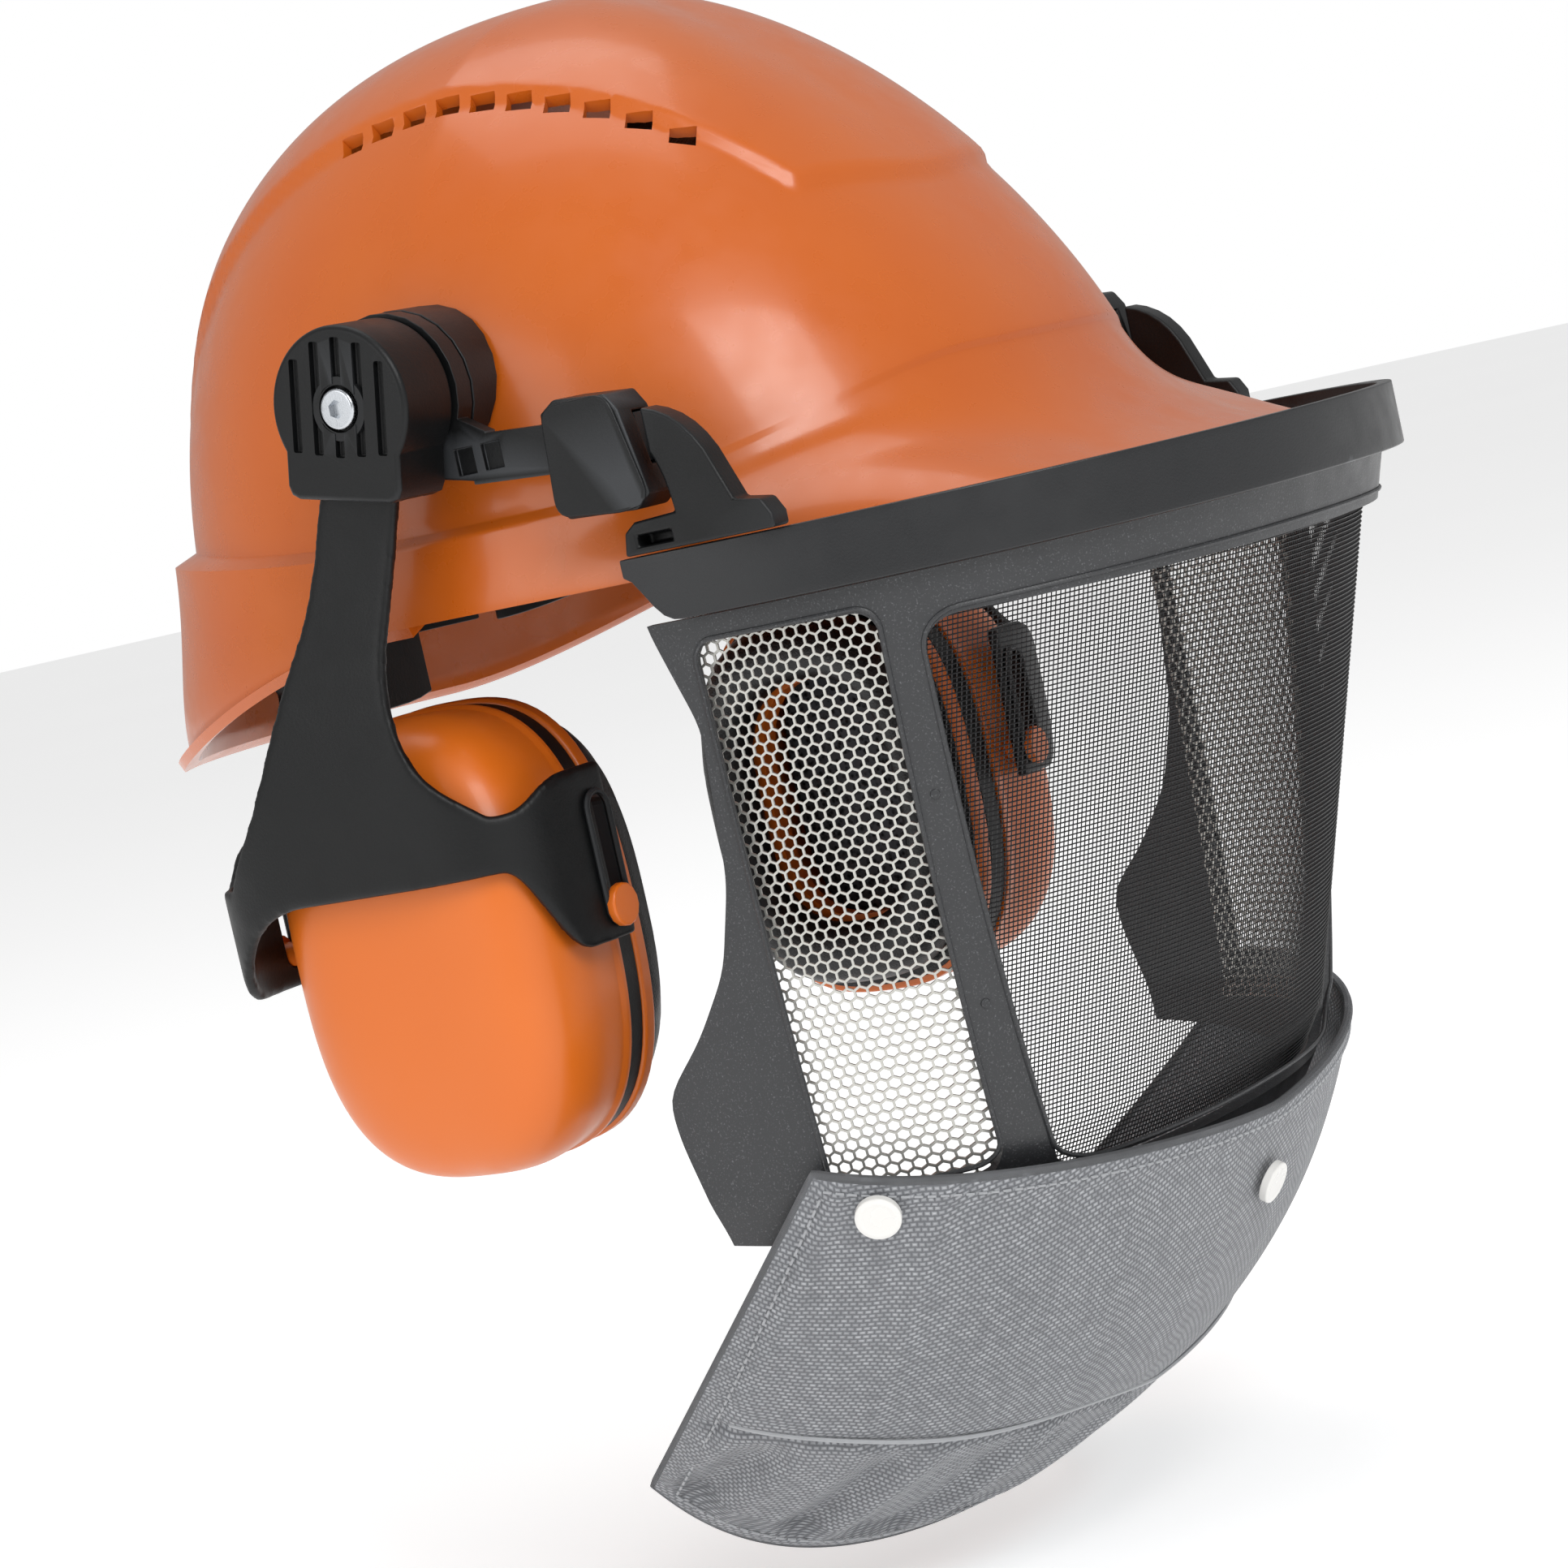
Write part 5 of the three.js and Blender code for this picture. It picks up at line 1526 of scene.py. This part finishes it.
    def saddle(self, turn: np.ndarray, z: np.ndarray, inset: object) -> np.ndarray:
        """Returns a point of the saddle that goes round the cup."""
        centre = (self.saddle_front + self.saddle_rear) / 2
        half = (self.saddle_rear - self.saddle_front) / 2 - inset
        bend = np.radians(turn)
        y = centre + half * np.sign(bend) * np.abs(np.sin(bend)) ** (2 / 3.4)
        reach = self.saddle_outer - inset - self.saddle_end
        x = self.saddle_end + reach * np.maximum(np.cos(bend), 0) ** (2 / 3.4)
        return stacked(x, y, z)

    def saddle_x(self, y: np.ndarray) -> np.ndarray:
        """Returns how far out the saddle's outer face is at a Y."""
        centre = (self.saddle_front + self.saddle_rear) / 2
        half = (self.saddle_rear - self.saddle_front) / 2
        part = np.clip(np.abs(y - centre) / half, 0, 0.999)
        return self.saddle_end + (self.saddle_outer - self.saddle_end) * (1 - part**3.4) ** (1 / 3.4)

    def saddle_place(self, u: np.ndarray, v: np.ndarray) -> np.ndarray:
        """Returns the saddle's outer face: u goes round the cup to the rear, v goes up."""
        turn = lerp(-90, 90, u)
        fore, aft = smoothstep(-turn, 45, 78), smoothstep(turn, 5, 72)
        dip = 7 * smoothstep(-turn, 18, 46)
        plate = smoothstep(turn, 62, 84)
        sunk = -37 - 14 * smoothstep(turn, 12, 35) * (1 - plate) - 5 * plate
        high = np.where(turn < 0, lerp(-37 - dip, -38, smoothstep(-turn, 52, 82)), sunk)
        low = np.where(turn < 0, lerp(-57, -78.5, fore), lerp(-57, -79, aft))
        return self.saddle(turn, lerp(low, high, v), 0.0)

    def arm_place(self, u: np.ndarray, v: np.ndarray) -> np.ndarray:
        """Returns the arm's outer face: slim under the hub, flaring into the saddle both ways."""
        z = lerp(-56, 33.5, v)
        fore, aft, x = (eased(z, *zip(*line)) for line in (self.arm_fore, self.arm_aft, self.arm_out))
        y = lerp(fore, aft, u)
        return stacked(np.minimum(x, self.saddle_x(y)), y, z)

    def yoke(self) -> bpy.types.Object:
        """Makes the yoke: an arm that widens into a saddle, fused, filleted and slotted at both ends."""
        saddle = laid_sheet("yoke_saddle", 96, 14, self.saddle_place, (90, 18, -60))
        thicken(saddle, 3)
        arm = laid_sheet("yoke_arm", 40, 60, self.arm_place, (90, 6, 0))
        thicken(arm, 3)
        knuckle = leaned(rod("knuckle", (125, -23, 33.5), (125, 0, 33.5), 2.6, 20))
        yoke = join("muff_yoke", [saddle, arm, knuckle])
        modify(yoke, "REMESH", mode="VOXEL", voxel_size=0.7 * MM)
        modify(yoke, "SMOOTH", factor=0.5, iterations=24)
        slots = []
        for y in (self.saddle_front, self.saddle_rear):
            slot = block("slot", (96.7, y - 7, -74.3), (103.3, y + 7, -45.2))
            soften(slot, 3.0, 5, 50)
            slots.append(slot)
        cut_with(yoke, slots)
        return yoke

    def slot_rims(self) -> bpy.types.Object:
        """Makes the raised rims round the yoke's two slots."""
        rims = []
        for y, out in ((self.saddle_front, -0.6), (self.saddle_rear, 0.6)):
            bend = np.linspace(0, math.pi, 13)
            upper = [(100 + 4.1 * math.cos(b), y + out, -48.6 + 4.1 * math.sin(b)) for b in bend]
            lower = [(100 - 4.1 * math.cos(b), y + out, -70.9 - 4.1 * math.sin(b)) for b in bend]
            rims.append(tubes("rim", [np.array(upper + lower)], 0.75, 8, closed=True))
        return join("slot_rims", rims)

    def build(self) -> None:
        """Builds both muffs, the right one as the mirror of the left."""
        band = self.ring("cup_gasket", self.rounded(0.84, 0.985, 84.7, 91.2, 0.5))
        plate = self.ring("cup_rim", self.rounded(0.6, 1.0, 79.3, 84.5, 1.2))
        foam = self.ring("cup_liner", self.rounded(0.02, 0.78, 98, 104, 2.5), 64)
        weld = self.ring("pad_flange", self.rounded(0.8, 0.965, 78.9, 79.25, 0.15))
        pins = []
        for name in ("front", "rear"):
            pins.append((refined(f"slot_pin_{name}_left", f"pin_{name}", 0.7, 3), f"slot_pin_{name}"))
        parts = [
            (self.yoke(), "muff_yoke", BLACK_NYLON, "yoke", "black_plastic", "yoke"),
            (self.slot_rims(), "slot_rims", BLACK_NYLON, "yoke", "black_plastic", ""),
            (self.cup(), "ear_cup", CUP_ABS, "cup", "cup_orange", "cup"),
            (band, "cup_gasket", BLACK_NYLON, "cup", "black_plastic", "cup_band"),
            (plate, "cup_rim", CUP_ABS, "cup", "cup_orange", "cup_plate"),
            (foam, "cup_liner", FOAM, "cup", "foam", "cup_foam"),
            (weld, "pad_flange", VINYL, "cup", "cushion_skin", ""),
            (self.cushion(), "ear_pad", VINYL, "cup", "cushion_skin", "ear_cushion"),
            *[(pin, f"cup_{node}", CUP_ABS, "pins", "cup_orange", node) for pin, node in pins],
        ]
        for piece, name, finish, body, slot, node in parts:
            for side, made in ((Side.LEFT, piece), (Side.RIGHT, mirrored(piece, "r"))):
                made.name = made.data.name = side.named(name)
                nodes = [side.named(node)] if node else []
                dress(made, finish, side.named(body), slot, *nodes)


# ---- Studio ----


@dataclass(frozen=True)
class Studio:
    """A pale floor, soft lights and the camera."""

    floor_z: float = -252.0
    azimuth: float = 57.0
    distance: float = 1044.0
    height: float = 28.5
    dip: float = 4.86
    roll: float = 12.6
    lens: float = 97.27
    ambient: float = 0.45

    def floor(self) -> None:
        """Adds the floor, far wider than the view."""
        bpy.ops.object.select_all(action="DESELECT")
        bpy.ops.mesh.primitive_circle_add(
            vertices=96, radius=14.0, fill_type="NGON", location=(0, 0, self.floor_z * MM)
        )
        floor = bpy.context.object
        floor.name = "studio_floor"
        finish = Finish("floor_paper_matt", "#f4f4f4", "#f0f0f0", 0.9, mottle=900.0, glow=0.42)
        floor.data.materials.append(finish.material())

    def light(self, name: str, place: tuple, size: float, power: float) -> None:
        """Adds a soft square light that looks at the helmet."""
        lamp = bpy.data.lights.new(name, "AREA")
        lamp.shape, lamp.size, lamp.energy = "SQUARE", size, power
        holder = bpy.data.objects.new(name, lamp)
        holder.location = place
        holder.rotation_euler = (Vector((0, 0, -0.03)) - Vector(place)).to_track_quat("-Z", "Y").to_euler()
        bpy.context.collection.objects.link(holder)

    def world(self) -> None:
        """Surrounds the helmet with white: full to the eye, dimmer as light, so that blacks stay deep."""
        world = bpy.data.worlds.new("studio_white")
        bpy.context.scene.world = world
        bpy.context.scene.view_settings.view_transform = "Standard"
        world.use_nodes = True
        tree = world.node_tree
        tree.nodes.clear()
        seen = add_node(tree, "LightPath").outputs["Is Camera Ray"]
        strength = add_node(tree, "MapRange", {"Value": seen, 3: self.ambient, 4: 1.0}).outputs[0]
        glow = add_node(tree, "Background", {"Color": (1, 1, 1, 1), "Strength": strength})
        add_node(tree, "OutputWorld", {"Surface": glow.outputs[0]})

    def camera(self) -> None:
        """Places the camera, rolled so that level lines rise to the right."""
        turn, dip, roll = (math.radians(a) for a in (self.azimuth, self.dip, self.roll))
        level = Vector((math.sin(turn), math.cos(turn), 0))
        place = Vector((0, -17, 0)) - level * self.distance
        place.z = self.height
        ahead = level * math.cos(dip) - Vector((0, 0, math.sin(dip)))
        right = Vector((math.cos(turn), -math.sin(turn), 0))
        up = right.cross(ahead)
        across = right * math.cos(roll) - up * math.sin(roll)
        upright = right * math.sin(roll) + up * math.cos(roll)
        data = bpy.data.cameras.new("camera")
        data.lens, data.sensor_width, data.sensor_fit = self.lens, 36.0, "HORIZONTAL"
        data.clip_start, data.clip_end = 0.05, 60.0
        holder = bpy.data.objects.new("camera", data)
        basis = Matrix((across, upright, -ahead)).transposed().to_4x4()
        holder.matrix_world = Matrix.Translation(place * MM) @ basis
        bpy.context.collection.objects.link(holder)
        bpy.context.scene.camera = holder

    def build(self) -> None:
        """Builds the studio."""
        self.camera()
        self.floor()
        self.world()
        self.light("key", (-1.1, -1.6, 1.3), 1.1, 26)
        self.light("fill", (-1.9, 0.7, 0.7), 1.3, 9)
        self.light("top", (0.3, 0.2, 2.0), 1.4, 10)


def main() -> None:
    """Builds the helmet round the CAD frame, in the order of its sub-assemblies."""
    logging.basicConfig(level=logging.INFO, format="%(name)s: %(message)s")
    Studio().build()
    Shell().build()
    Cradle().build()
    Hub().build()
    Visor().build()
    Bib().build()
    EarMuff().build()


if __name__ == "__main__":
    main()
